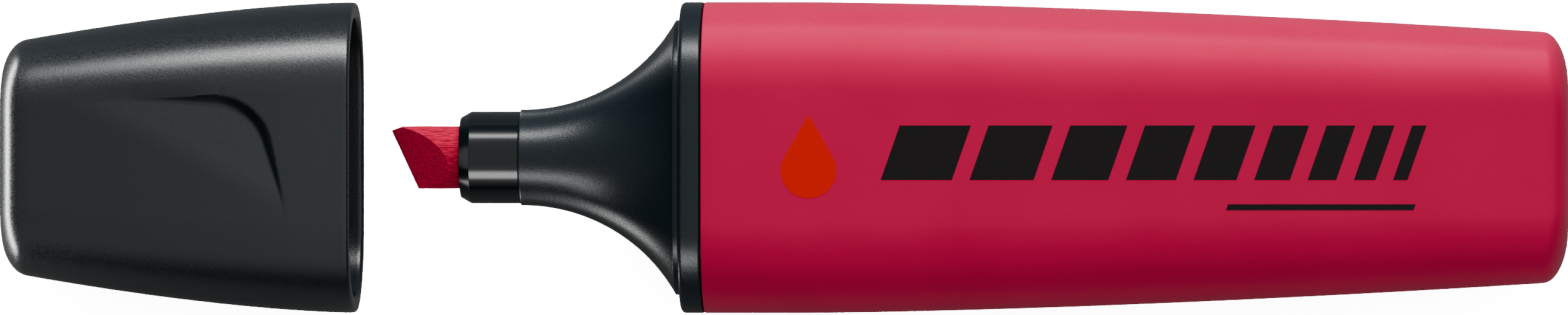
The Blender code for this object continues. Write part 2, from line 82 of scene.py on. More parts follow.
AXIS_Z = (barrel_low.z + barrel_high.z) / 2
HALF_WIDTH = barrel_high.y
HALF_THICKNESS = barrel_high.z - AXIS_Z
SIDE_FLAT = 2.2 * MM  # straight strip down each narrow side
TAPER_POWER = 1.57  # how slowly the sides leave their full size
SEAM_GAP = 0.1 * MM  # between the flange and the barrel's mouth
FLANGE_LENGTH = 1.9 * MM
FLANGE_X = barrel_low.x - SEAM_GAP - FLANGE_LENGTH
print(f"width {2000 * HALF_WIDTH:.1f} mm, thickness {2000 * HALF_THICKNESS:.1f} mm")

# %% [markdown]
# ## One helper for every node
# Node trees for shapes and for materials are both made of nodes, settings and wires. One small function
# adds a node, sets its properties and plugs each input, either with a value or with another node's output.
# With it a tree reads from top to bottom like a recipe.


# %% Add a node
def add(tree, kind, wires=(), **settings):
    """Adds a node. Wires maps an input's name or number to a value, a socket or a node's first output."""
    node = tree.nodes.new(kind)
    for name, value in settings.items():
        setattr(node, name, value)
    for key, value in dict(wires).items():
        if isinstance(value, bpy.types.Node):
            value = value.outputs[0]
        if isinstance(value, bpy.types.NodeSocket):
            tree.links.new(value, node.inputs[key])
        else:
            node.inputs[key].default_value = value
    return node


print("one helper for every node:", add.__name__)

# %% [markdown]
# ## Shape trees
# A Geometry Nodes tree gets named inputs for its sizes. Its modifier is given its values by each socket's
# identifier, and the evaluated result becomes a plain mesh, so that no live modifier is left on a piece.

# %% Make a shape tree
SOCKETS = {"value": "NodeSocketFloat", "count": "NodeSocketInt", "material": "NodeSocketMaterial"}


def shape_tree(name, **inputs):
    """A new Geometry Nodes tree with these inputs, and its input and output nodes."""
    tree = bpy.data.node_groups.new(name, "GeometryNodeTree")
    tree.interface.new_socket("Geometry", in_out="OUTPUT", socket_type="NodeSocketGeometry")
    tree.interface.new_socket("Geometry", in_out="INPUT", socket_type="NodeSocketGeometry")
    for label, kind in inputs.items():
        tree.interface.new_socket(label, in_out="INPUT", socket_type=SOCKETS[kind])
    return tree, add(tree, "NodeGroupInput"), add(tree, "NodeGroupOutput")


print("inputs that a shape tree may have:", ", ".join(SOCKETS))


# %% Apply a shape tree
def plain_mesh(obj):
    """Turns what an object's modifiers make of it into its own mesh."""
    graph = bpy.context.evaluated_depsgraph_get()
    made = bpy.data.meshes.new_from_object(obj.evaluated_get(graph))
    made.name = obj.name
    obj.modifiers.clear()
    obj.data = made
    return obj


def grow(obj, tree, **values):
    """Runs a shape tree on an object and keeps the plain result."""
    modifier = obj.modifiers.new(tree.name, "NODES")
    modifier.node_group = tree
    for item in tree.interface.items_tree:
        if item.in_out == "INPUT" and item.name in values:
            modifier[item.identifier] = values[item.name]
    return plain_mesh(obj)


# %% [markdown]
# ## Colours
# Colours are written as the sRGB hex values that a paint card would give. Shaders work in linear light, so
# one function turns every hex value, and no colour is typed as three decimals.


# %% Hex to linear
def linear(hex_colour):
    """The linear RGBA of an sRGB hex colour."""
    channels = [int(hex_colour[i : i + 2], 16) / 255 for i in (0, 2, 4)]
    return [c / 12.92 if c <= 0.04045 else ((c + 0.055) / 1.055) ** 2.4 for c in channels] + [1]


print("middle grey 808080 in linear light:", round(linear("808080")[0], 3))


# %% Start a material
def new_material(name):
    """A material with its Principled shader wired to the output, and the piece's own coordinates."""
    material = bpy.data.materials.new(name)
    material.use_nodes = True
    tree = material.node_tree
    tree.nodes.clear()
    shader = add(tree, "ShaderNodeBsdfPrincipled")
    add(tree, "ShaderNodeOutputMaterial", {"Surface": shader})
    place = add(tree, "ShaderNodeTexCoord").outputs["Object"]
    return material, tree, shader, place


# %% [markdown]
# ## Moulded polypropylene
# The barrel, the front and the cap are injection moulded. Their mould was spark eroded, which leaves a
# grain of tiny rounded pits about a tenth of a millimetre apart. The eye sees it as a satin gloss with
# small glints, a little cloudier where the plastic cooled slower. A picture of grain would repeat and
# stretch, so noise drives the bump and the roughness, and each plastic gives the spacing of its own grain.


# %% Moulded plastic
CLOUD_SIZE = 9 * MM  # the slow change of tone where a wall cooled unevenly
GLOSS_SPREAD = 0.07  # how far the grain moves the roughness either way


def moulded(name, colour, cloudy, roughness, specular, grain, relief, gleam="FFFFFF"):
    """Spark-eroded polypropylene. Grain is the spacing of its pits and relief their depth, in metres."""
    material, tree, shader, place = new_material(name)
    cloud = add(tree, "ShaderNodeTexNoise", {"Vector": place, "Scale": 1 / CLOUD_SIZE, "Detail": 3.0})
    tone = add(tree, "ShaderNodeMapRange", {"Value": cloud, "From Min": 0.3, "From Max": 0.7})
    tint = add(
        tree,
        "ShaderNodeMix",
        {"Factor": tone, 6: linear(colour), 7: linear(cloudy)},
        data_type="RGBA",
    )
    pits = add(tree, "ShaderNodeTexNoise", {"Vector": place, "Scale": 1 / grain, "Detail": 4.0})
    smoothest, roughest = roughness - GLOSS_SPREAD, roughness + GLOSS_SPREAD
    gloss = add(
        tree,
        "ShaderNodeMapRange",
        {"Value": pits, "From Min": 0.3, "From Max": 0.7, "To Min": smoothest, "To Max": roughest},
    )
    bump = add(tree, "ShaderNodeBump", {"Height": pits, "Strength": 1.0, "Distance": relief})
    tree.links.new(tint.outputs[2], shader.inputs["Base Color"])
    tree.links.new(gloss.outputs[0], shader.inputs["Roughness"])
    tree.links.new(bump.outputs[0], shader.inputs["Normal"])
    shader.inputs["Specular IOR Level"].default_value = specular
    shader.inputs["Specular Tint"].default_value = linear(gleam)
    shader.inputs["IOR"].default_value = 1.49
    return material


# %% [markdown]
# The crimson is a strong pigment in the plastic itself, and its gleam is tinted too, so that the light band
# on the shoulder stays red and not chalky. The blacks are a bluish carbon black. Of these the cap's is the
# glossiest, the front's is duller, and the seal's is a soft, waxy polyethylene.

# %% Four plastics
crimson_plastic = moulded(
    "crimson polypropylene", "C60E4A", "C00C47", 0.30, 0.9, 0.16 * MM, 0.005 * MM, gleam="FF1F58"
)
black_plastic = moulded("black polypropylene", "121D23", "10191F", 0.30, 0.30, 0.13 * MM, 0.010 * MM)
cap_plastic = moulded("black cap polypropylene", "0C161B", "0B1419", 0.29, 0.68, 0.14 * MM, 0.010 * MM)
seal_plastic = moulded("black polyethylene", "11191E", "0F161B", 0.45, 0.5, 0.20 * MM, 0.008 * MM)
for plastic in (crimson_plastic, black_plastic, cap_plastic, seal_plastic):
    print(f"{plastic.name}: {len(plastic.node_tree.nodes)} nodes")

# %% [markdown]
# ## Polished nozzle plastic
# The nib holder comes from a polished mould, so it is glossy. Drawing it off the mould's pin leaves faint
# lines along the axis, which stretch each reflection a little. The noise is stretched 25 times along the
# axis to make them. Real lines are finer: they are drawn a quarter of a millimetre apart so that they show.


# %% Polished black plastic
def polished_black():
    material, tree, shader, place = new_material("polished black plastic")
    shader.inputs["Base Color"].default_value = linear("0A1115")
    shader.inputs["Specular IOR Level"].default_value = 0.45
    drawn = add(tree, "ShaderNodeMapping", {"Vector": place, "Scale": (0.04, 1, 1)})
    lines = add(tree, "ShaderNodeTexNoise", {"Vector": drawn, "Scale": 1 / (0.25 * MM), "Detail": 5.0})
    gloss = add(tree, "ShaderNodeMapRange", {"Value": lines, "To Min": 0.10, "To Max": 0.26})
    bump = add(tree, "ShaderNodeBump", {"Height": lines, "Strength": 0.6, "Distance": 0.006 * MM})
    tree.links.new(gloss.outputs[0], shader.inputs["Roughness"])
    tree.links.new(bump.outputs[0], shader.inputs["Normal"])
    return material


nozzle_plastic = polished_black()
print(f"{nozzle_plastic.name}: {len(nozzle_plastic.node_tree.nodes)} nodes")

# %% [markdown]
# ## Inked felt
# The nib is a rod of polyester fibres pressed and glued together along the axis, then cut to a chisel.
# Its side shows long streaks of fibre, and the cut faces show short broken ends, darker with ink. The
# mix between the two is by how far the surface faces along the axis, which only the cut faces do. A real
# fibre is about 0.03 mm thick, too fine to show, so bundles of 0.11 mm and tufts of 0.16 mm are drawn.


# %% Felt
def inked_felt():
    material, tree, shader, place = new_material("inked polyester felt")
    along = add(tree, "ShaderNodeMapping", {"Vector": place, "Scale": (0.11, 1, 1)})
    strands = add(tree, "ShaderNodeTexNoise", {"Vector": along, "Scale": 1 / (0.11 * MM), "Detail": 5.0})
    ends = add(tree, "ShaderNodeMapping", {"Vector": place, "Scale": (0.6, 1, 1)})
    broken = add(tree, "ShaderNodeTexNoise", {"Vector": ends, "Scale": 1 / (0.16 * MM), "Detail": 6.0})
    facing = add(tree, "ShaderNodeSeparateXYZ", {0: add(tree, "ShaderNodeNewGeometry").outputs["Normal"]})
    cut = add(tree, "ShaderNodeMapRange", {"Value": facing, "From Min": -0.25, "From Max": -0.45})
    relief = add(tree, "ShaderNodeMix", {"Factor": cut, 2: strands, 3: broken}, data_type="FLOAT")
    lights = {"Factor": cut, 6: linear("C8103F"), 7: linear("C61240")}
    darks = {"Factor": cut, 6: linear("8C082A"), 7: linear("A20B34")}
    light, dark = (add(tree, "ShaderNodeMix", wires, data_type="RGBA") for wires in (lights, darks))
    tone = add(tree, "ShaderNodeMapRange", {"Value": relief, "From Min": 0.38, "From Max": 0.56})
    ink = add(
        tree, "ShaderNodeMix", {"Factor": tone, 6: dark.outputs[2], 7: light.outputs[2]}, data_type="RGBA"
    )
    bump = add(tree, "ShaderNodeBump", {"Height": relief, "Strength": 1.0, "Distance": 0.08 * MM})
    tree.links.new(ink.outputs[2], shader.inputs["Base Color"])
    tree.links.new(bump.outputs[0], shader.inputs["Normal"])
    shader.inputs["Roughness"].default_value = 0.85
    shader.inputs["Specular IOR Level"].default_value = 0.1
    return material


felt = inked_felt()
print(f"{felt.name}: {len(felt.node_tree.nodes)} nodes")

# %% [markdown]
# ## Ink store
# The fibre block and its clear sleeve are sealed inside the barrel. They are kept as loaded and get the
# finish that they would show on a bench. The block is a tow of long fibres soaked in ink: dull, streaky and
# paler where the ink has drained. Its streaks are bundles 0.3 mm wide, coarser than fibres so that they show.


# %% Fibre core
def soaked_fibre():
    material, tree, shader, place = new_material("ink-soaked fibre")
    along = add(tree, "ShaderNodeMapping", {"Vector": place, "Scale": (0.03, 1, 1)})
    strands = add(tree, "ShaderNodeTexNoise", {"Vector": along, "Scale": 1 / (0.3 * MM), "Detail": 6.0})
    tone = add(tree, "ShaderNodeMapRange", {"Value": strands, "From Min": 0.35, "From Max": 0.65})
    ink = add(
        tree, "ShaderNodeMix", {"Factor": tone, 6: linear("8E0E33"), 7: linear("D04C6E")}, data_type="RGBA"
    )
    bump = add(tree, "ShaderNodeBump", {"Height": strands, "Strength": 0.8, "Distance": 0.08 * MM})
    tree.links.new(ink.outputs[2], shader.inputs["Base Color"])
    tree.links.new(bump.outputs[0], shader.inputs["Normal"])
    shader.inputs["Roughness"].default_value = 0.95
    return material


# %% [markdown]
# The sleeve is drawn polypropylene film. It lets light through but scatters it, so it looks milky, and
# faint lines run the way that it was drawn.


# %% Film
def milky_film():
    material, tree, shader, place = new_material("clear polypropylene film")
    drawn = add(tree, "ShaderNodeMapping", {"Vector": place, "Scale": (0.05, 1, 1)})
    lines = add(tree, "ShaderNodeTexNoise", {"Vector": drawn, "Scale": 1 / (0.6 * MM), "Detail": 4.0})
    haze = add(
        tree, "ShaderNodeMix", {"Factor": lines, 6: linear("E9E7E3"), 7: linear("DCD9D3")}, data_type="RGBA"
    )
    gloss = add(tree, "ShaderNodeMapRange", {"Value": lines, "To Min": 0.15, "To Max": 0.35})
    tree.links.new(haze.outputs[2], shader.inputs["Base Color"])
    tree.links.new(gloss.outputs[0], shader.inputs["Roughness"])
    shader.inputs["Transmission Weight"].default_value = 0.6
    return material


# %% Finish the ink store
for node, finish in (("reservoir_core", soaked_fibre()), ("reservoir_film", milky_film())):
    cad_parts[node].data.materials.clear()
    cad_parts[node].data.materials.append(finish)
    print(node, "is finished as", finish.name)

# %% [markdown]
# ## Printing inks
# The barrel carries pad printing. A silicone pad lays down a coat of ink a few hundredths of a millimetre
# thick. It dries duller than the plastic round it, and thinner in places, where the barrel's colour
# breathes through.


# %% Inks
def pad_ink(name, colour, thin, gleam="FFFFFF"):
    """A thin coat of printing ink. Thin is its colour where the coat is thinnest."""
    material, tree, shader, place = new_material(name)
    coat = add(tree, "ShaderNodeTexNoise", {"Vector": place, "Scale": 1 / (0.5 * MM), "Detail": 4.0})
    tone = add(tree, "ShaderNodeMapRange", {"Value": coat, "From Min": 0.45, "From Max": 0.8})
    ink = add(tree, "ShaderNodeMix", {"Factor": tone, 6: linear(colour), 7: linear(thin)}, data_type="RGBA")
    gloss = add(tree, "ShaderNodeMapRange", {"Value": coat, "To Min": 0.34, "To Max": 0.46})
    bump = add(tree, "ShaderNodeBump", {"Height": coat, "Strength": 0.5, "Distance": 0.01 * MM})
    tree.links.new(ink.outputs[2], shader.inputs["Base Color"])
    tree.links.new(gloss.outputs[0], shader.inputs["Roughness"])
    tree.links.new(bump.outputs[0], shader.inputs["Normal"])
    shader.inputs["Specular IOR Level"].default_value = 0.2
    shader.inputs["Specular Tint"].default_value = linear(gleam)
    return material


black_ink = pad_ink("black pad ink", "12100F", "1A1012")
red_ink = pad_ink("red pad ink", "DC0300", "D60404", gleam="FF5040")
print("inks:", black_ink.name, "and", red_ink.name)

# %% [markdown]
# ## The rule of the tapering sides
# The barrel and the cap keep their full size near the flange and then close in, slowly at first. Every
# width and thickness follows one rule: full minus (full - end) times the share of the way to a power.
# The rule is written once as a node group, for the trees, and once as a function, for the rest.


# %% Taper
def tapered(distance, full, end, full_for, length):
    """The size at this distance from the mouth, in a shell that keeps its full size for a while."""
    return full - (full - end) * max((distance - full_for) / (length - full_for), 0) ** TAPER_POWER


def taper_group():
    tree = bpy.data.node_groups.new("taper", "GeometryNodeTree")
    for label in ("Distance", "Full", "End", "Full For", "Length"):
        tree.interface.new_socket(label, in_out="INPUT", socket_type="NodeSocketFloat")
    tree.interface.new_socket("Size", in_out="OUTPUT", socket_type="NodeSocketFloat")
    given = add(tree, "NodeGroupInput").outputs
    share = add(
        tree,
        "ShaderNodeMapRange",
        {"Value": given["Distance"], "From Min": given["Full For"], "From Max": given["Length"]},
    )
    bent = add(tree, "ShaderNodeMath", {0: share, 1: TAPER_POWER}, operation="POWER")
    size = add(
        tree,
        "ShaderNodeMapRange",
        {"Value": bent, "To Min": given["Full"], "To Max": given["End"]},
    )
    add(tree, "NodeGroupOutput", {"Size": size})
    return tree


TAPER = taper_group()
print(f"halfway down its taper a shell has lost {0.5**TAPER_POWER:.0%} of what it will lose")

# %% [markdown]
# ## Wrapping a sheet into a shell
# The barrel and the cap are the same kind of shape: a rectangle with round corners, drawn along the axis
# while its sides taper, and rounded over at the closed end. A flat sheet is made first, whose first
# coordinate is the distance from the mouth. Its second one runs 0 to 8 round the section: even stretches
# are the four corners and odd ones the four flats. The tree wraps the sheet by formula, so the same tree
# serves both shells, and stations can be close together wherever a surface needs them.


# %% The wrapping tree
def wrapping_tree():
    sizes = "MouthX Direction Length Width EndWidth WideFor Thickness EndThickness ThickFor SideFlat"
    inputs = {label: "value" for label in f"{sizes} RoundX RoundY RoundZ EndFace AxisZ".split()}
    tree, given, out = shape_tree("wrap sheet into shell", **inputs, Finish="material")
    given = given.outputs

    def calc(operation, *values, clamp=False):
        wires = dict(enumerate(values))
        return add(tree, "ShaderNodeMath", wires, operation=operation, use_clamp=clamp).outputs[0]

    sheet = add(tree, "ShaderNodeSeparateXYZ", {0: add(tree, "GeometryNodeInputPosition")})
    distance = calc("MINIMUM", sheet.outputs["X"], given["Length"])
    turn = sheet.outputs["Y"]

    # The closed end: an elliptical edge, then the flat end face, which shrinks to its middle.
    into_round = calc("SUBTRACT", distance, calc("SUBTRACT", given["Length"], given["RoundX"]))
    share = calc("DIVIDE", into_round, given["RoundX"], clamp=True)
    drop = calc("SUBTRACT", 1.0, calc("SQRT", calc("SUBTRACT", 1.0, calc("MULTIPLY", share, share))))
    beyond = calc("SUBTRACT", sheet.outputs["X"], distance)
    shrink = calc("SUBTRACT", 1.0, calc("DIVIDE", beyond, given["EndFace"]), clamp=True)

    halves = []
    for full, end, full_for, rounding in (
        ("Width", "EndWidth", "WideFor", "RoundY"),
        ("Thickness", "EndThickness", "ThickFor", "RoundZ"),
    ):
        wires = {
            "Distance": distance,
            "Full": given[full],
            "End": given[end],
            "Full For": given[full_for],
            "Length": given["Length"],
        }
        size = add(tree, "GeometryNodeGroup", node_tree=TAPER)
        for label, value in wires.items():
            tree.links.new(value, size.inputs[label])
        half = calc("MULTIPLY", size.outputs[0], 0.5)
        halves.append(calc("SUBTRACT", half, calc("MULTIPLY", drop, given[rounding])))
    half_width, half_thickness = halves
    half_side = calc("MULTIPLY", given["SideFlat"], 0.5)
    corner = calc("SUBTRACT", half_thickness, half_side)
    flat = calc("SUBTRACT", half_width, corner)

    # The angle stands still along a flat, while the corner's centre moves across it.
    stretch = calc("FLOOR", turn)
    quarter = calc("FLOOR", calc("MULTIPLY", calc("ADD", stretch, 1.0), 0.5))
    in_corner = calc("COMPARE", calc("MODULO", stretch, 2.0), 0.0, 0.1)
    partly = calc("MULTIPLY", calc("FRACT", turn), in_corner)
    angle = calc("MULTIPLY", calc("ADD", quarter, partly), pi / 2)
    centres = []
    for down, up in ((3.0, 11.0), (7.0, 15.0)):
        falling = calc("SUBTRACT", down, calc("MULTIPLY", turn, 2.0))
        rising = calc("SUBTRACT", calc("MULTIPLY", turn, 2.0), up)
        higher = calc("MAXIMUM", falling, rising)
        centres.append(calc("MINIMUM", calc("MAXIMUM", higher, -1.0), 1.0))
    y = calc("MULTIPLY_ADD", corner, calc("COSINE", angle), calc("MULTIPLY", flat, centres[0]))
    z = calc("MULTIPLY_ADD", corner, calc("SINE", angle), calc("MULTIPLY", half_side, centres[1]))
    x = calc("MULTIPLY_ADD", distance, given["Direction"], given["MouthX"])
    y = calc("MULTIPLY", y, shrink)
    z = calc("MULTIPLY_ADD", z, shrink, given["AxisZ"])

    place = add(tree, "ShaderNodeCombineXYZ", {0: x, 1: y, 2: z})
    wrapped = add(tree, "GeometryNodeSetPosition", {"Geometry": given["Geometry"], "Position": place})
    closed = add(tree, "GeometryNodeMergeByDistance", {"Geometry": wrapped, "Distance": 1e-6})
    smooth = add(tree, "GeometryNodeSetShadeSmooth", {"Geometry": closed, "Shade Smooth": True})
    real = add(tree, "GeometryNodeRealizeInstances", {"Geometry": smooth})
    finished = add(tree, "GeometryNodeSetMaterial", {"Geometry": real, "Material": given["Finish"]})
    tree.links.new(finished.outputs[0], out.inputs["Geometry"])
    return tree


WRAP = wrapping_tree()
print("the wrapping tree has", len(WRAP.nodes), "nodes")

# %% [markdown]
# The sheet is plain mesh code. Its stations are packed close round the closed end's edge, and wherever
# the caller asks for more. Its corner and flat steps decide how round the shell is.

# %% The flat sheet
END_FACE = 10 * MM  # how much of the sheet is spent on the closed end's flat face
END_FACE_STEPS = 5
MERGE_WITHIN = 1e-7  # points closer than this, in metres, are one point


def object_from(bm, name):
    """A new object in the scene that holds this mesh."""
    mesh = bpy.data.meshes.new(name)
    bm.to_mesh(mesh)
    bm.free()
    obj = bpy.data.objects.new(name, mesh)
    bpy.context.scene.collection.objects.link(obj)
    return obj


def end_stations(length, rounding, steps=10):
    """Distances from the mouth round the closed end's edge, and over its end face."""
    edge = [length - rounding * (1 - sin(step / steps * pi / 2)) for step in range(steps + 1)]
    return edge + [length + END_FACE * step / END_FACE_STEPS for step in range(1, END_FACE_STEPS + 1)]


def turn_steps(corner_steps, flat_steps, side_steps=3):
    """Places 0 to 8 round the section, finer in the corners and on the broad flats."""
    counts = (corner_steps, flat_steps, corner_steps, side_steps) * 2
    return [k + step / count for k, count in enumerate(counts) for step in range(count)] + [8]


def flat_sheet(name, distances, turns):
    bm = bmesh.new()
    rows = [[bm.verts.new((distance, turn, 0)) for turn in turns] for distance in distances]
    for row, following in pairwise(rows):
        for (a, b), (d, c) in zip(pairwise(row), pairwise(following)):
            bm.faces.new((a, b, c, d))
    return object_from(bm, name)


print("places round a coarse section:", len(turn_steps(2, 1, 1)))

# %% [markdown]
# A wrapped sheet is an open skin. Its doubles are merged and its faces turned outwards first, because
# Solidify would otherwise put the wall on the wrong side. Then it gets its wall and a rounded rim.


# %% From skin to shell
def face_outwards(obj):
    """Merges doubles, then turns the faces so that they point away from the axis."""
    bm = bmesh.new()
    bm.from_mesh(obj.data)
    bmesh.ops.remove_doubles(bm, verts=bm.verts, dist=MERGE_WITHIN)
    bmesh.ops.recalc_face_normals(bm, faces=bm.faces)
    away_from_axis = (
        (face.normal, face.calc_center_median() * Vector((0, 1, 1)) - Vector((0, 0, AXIS_Z)))
        for face in bm.faces
    )
    if sum(normal.dot(way) for normal, way in away_from_axis) < 0:
        bmesh.ops.reverse_faces(bm, faces=bm.faces)
    bm.to_mesh(obj.data)
    bm.free()
    return obj


def give_wall(obj, thickness, rim):
    """Grows the wall inwards and rounds the mouth's two edges."""
    solid = obj.modifiers.new("wall", "SOLIDIFY")
    solid.thickness = thickness
    solid.offset = -1
    solid.use_even_offset = True
    solid.use_quality_normals = True
    edge = obj.modifiers.new("rim", "BEVEL")
    edge.width = rim
    edge.segments = 4
    edge.limit_method = "ANGLE"
    edge.angle_limit = radians(70)  # only the mouth's edges are this sharp
    return plain_mesh(obj)


# %% [markdown]
# Every piece ends the same way: smooth shading with sharp edges kept, then the body that it rides on,
# and the loaded pieces that it stands for.

# %% Finish a piece
SHARP_FROM = radians(38)


def finish_piece(obj, body, slot, *nodes):
    """Puts a finished piece on its body, in the place of the loaded nodes."""
    obj.data.shade_smooth()
    obj.data.set_sharp_from_angle(angle=SHARP_FROM)
    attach(obj, body)
    if nodes:
        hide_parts(*nodes)
    sides = ", ".join(f"{side / MM:.2f}" for side in obj.dimensions)
    print(f"{obj.name}: {len(obj.data.polygons)} faces, {sides} mm")
    return obj


# %% [markdown]
# ## Barrel
# The barrel is the ink's colour, so that a user finds the shade at a glance. It is one deep moulding, open
# at the flange, with a wall of 1.2 mm. Its shape is all rule and no detail, so the wrapping tree makes it.

# %% Barrel sizes
BARREL_WALL = 1.2 * MM
BARREL_WIDE_FOR = 7.3 * MM
BARREL_THICK_FOR = 24.0 * MM
BARREL_END_WIDTH = 21.1 * MM
BARREL_END_THICKNESS = 13.6 * MM
BARREL_ROUND = (2.1 * MM, 4.4 * MM, 2.6 * MM)  # how far the end's edge is rounded, in x, y and z
BARREL_STATIONS = 60
BARREL_MOUTH_BEVEL = 0.12 * MM
BARREL_LENGTH = barrel_high.x - barrel_low.x


def barrel_halves(x):
    """Half the barrel's width and thickness at x."""
    distance = x - barrel_low.x
    width = tapered(distance, 2 * HALF_WIDTH, BARREL_END_WIDTH, BARREL_WIDE_FOR, BARREL_LENGTH)
    thick = tapered(distance, 2 * HALF_THICKNESS, BARREL_END_THICKNESS, BARREL_THICK_FOR, BARREL_LENGTH)
    return width / 2, thick / 2


end_halves = ", ".join(f"{half / MM:.2f}" for half in barrel_halves(barrel_high.x))
print(f"half the width and thickness at the barrel's end: {end_halves} mm")


# %% Barrel shell
def barrel_shell():
    straight = BARREL_LENGTH - BARREL_ROUND[0]
    distances = [straight * step / BARREL_STATIONS for step in range(BARREL_STATIONS)]
    distances += end_stations(BARREL_LENGTH, BARREL_ROUND[0])
    sheet = flat_sheet("barrel_shell", distances, turn_steps(16, 12))
    shell = grow(
        sheet,
        WRAP,
        MouthX=barrel_low.x,
        Direction=1.0,
        Length=BARREL_LENGTH,
        Width=2 * HALF_WIDTH,
        EndWidth=BARREL_END_WIDTH,
        WideFor=BARREL_WIDE_FOR,
        Thickness=2 * HALF_THICKNESS,
        EndThickness=BARREL_END_THICKNESS,
        ThickFor=BARREL_THICK_FOR,
        SideFlat=SIDE_FLAT,
        RoundX=BARREL_ROUND[0],
        RoundY=BARREL_ROUND[1],
        RoundZ=BARREL_ROUND[2],
        EndFace=END_FACE,
        AxisZ=AXIS_Z,
        Finish=crimson_plastic,
    )
    return give_wall(face_outwards(shell), BARREL_WALL, BARREL_MOUTH_BEVEL)


barrel = finish_piece(barrel_shell(), "marker", "crimson_plastic", "barrel")

# %% [markdown]
# ## Front section
# One black moulding joins four jobs: the skirt that plugs the barrel, the flange that the cap stops at,
# the narrow land that the cap slides over, and the funnel that narrows to the nozzle. Its section goes
# from a rounded rectangle to a circle, so it is lofted from rings whose points keep their directions.
# Its edges are rounded by extra rings, because each edge's thin line of light is what shows it is moulded.

# %% Front section sizes
LAND_INSET = 1.55 * MM
LAND_LENGTH = 0.5 * MM
EDGE_SOFT = 0.07 * MM  # softened outer edges, which catch a thin line of light
FLANGE_ROUND = 0.45 * MM
LAND_X = FLANGE_X - LAND_LENGTH
FLANGE_REAR_BEVEL = 0.17 * MM
FUNNEL_WALL = 1.3 * MM
NECK_STEP = 0.19 * MM
NECK_BEVEL = 0.12 * MM
NOZZLE_RADIUS = nozzle_high.y
NECK_RADIUS = NOZZLE_RADIUS + NECK_STEP
NECK_LENGTH = 0.2 * MM
SKIRT_INSET = 1.5 * MM
SKIRT_WALL = 1.1 * MM
SHANK_BORE = 3.5 * MM
FRONT_CORNER_STEPS = 16
FRONT_FLAT_STEPS = 16
FUNNEL_STATIONS = 56
SKIRT_LEAD_IN = 0.4 * MM  # small slope that starts the skirt into the barrel


# %% Rings of the front section
def rounded_ring(inset):
    """The flange's outline drawn in by the inset, as (y, z) points round the axis."""
    half_width, half_thickness = HALF_WIDTH - inset, HALF_THICKNESS - inset
    corner = half_thickness - SIDE_FLAT / 2
    flat = half_width - corner
    ring = []
    for quarter in range(4):
        side = 1 if quarter in (0, 3) else -1
        top = 1 if quarter < 2 else -1
        for step in range(FRONT_CORNER_STEPS + 1):
            angle = (quarter + step / FRONT_CORNER_STEPS) * pi / 2
            ring.append((side * flat + corner * cos(angle), top * SIDE_FLAT / 2 + corner * sin(angle)))
        if quarter in (0, 2):
            for step in range(1, FRONT_FLAT_STEPS):
                ring.append((side * flat * (1 - 2 * step / FRONT_FLAT_STEPS), top * half_thickness))
    return ring


def round_ring(radius):
    """A circle whose points lie in the same directions as the land's."""
    return [(radius * y / hypot(y, z), radius * z / hypot(y, z)) for y, z in rounded_ring(LAND_INSET)]


def blended_ring(small, large, share):
    """A ring this share of the way from the small one to the large one."""
    return [(a + (c - a) * share, b + (d - b) * share) for (a, b), (c, d) in zip(small, large)]


print("points in each ring:", len(rounded_ring(0)))


# %% Stations of the funnel
def funnel_rings(small, large, shift):
    """Stations along the concave funnel: a circular arc from the neck out to the land."""
    neck_x = front_low.x + NECK_LENGTH
    length = LAND_X - neck_x
    rise = HALF_WIDTH - LAND_INSET - NECK_RADIUS
    radius = (length**2 + rise**2) / (2 * rise)
    sweep = asin(length / radius)
    rings = []
    for step in range(FUNNEL_STATIONS + 1):
        angle = sweep * step / FUNNEL_STATIONS
        share = radius * (1 - cos(angle)) / rise
        x = neck_x + (radius + shift) * sin(angle)
        rings.append((x, blended_ring(small, large, share)))
    return rings


print(f"the funnel is {(LAND_X - front_low.x) / MM:.1f} mm long")


# %% Loft
def loft(name, stations, finish):
    """Joins rings of equal count into one closed wall, the last ring back to the first."""
    bm = bmesh.new()
    rings = [[bm.verts.new((x, y, AXIS_Z + z)) for y, z in ring] for x, ring in stations]
    for ring, following in pairwise(rings + rings[:1]):
        for i, vert in enumerate(ring):
            j = (i + 1) % len(ring)
            bm.faces.new((vert, ring[j], following[j], following[i]))
    bmesh.ops.recalc_face_normals(bm, faces=bm.faces)
    obj = object_from(bm, name)
    obj.data.materials.append(finish)
    return obj


def rounded_edge(x, radius, start, steps):
    """Stations round an edge of the flange, over a quarter circle that begins at the start angle."""
    stations = []
    for step in range(steps + 1):
        angle = start + step / steps * pi / 2
        stations.append((x - radius * cos(angle), rounded_ring(radius * (1 - sin(angle)))))
    return stations


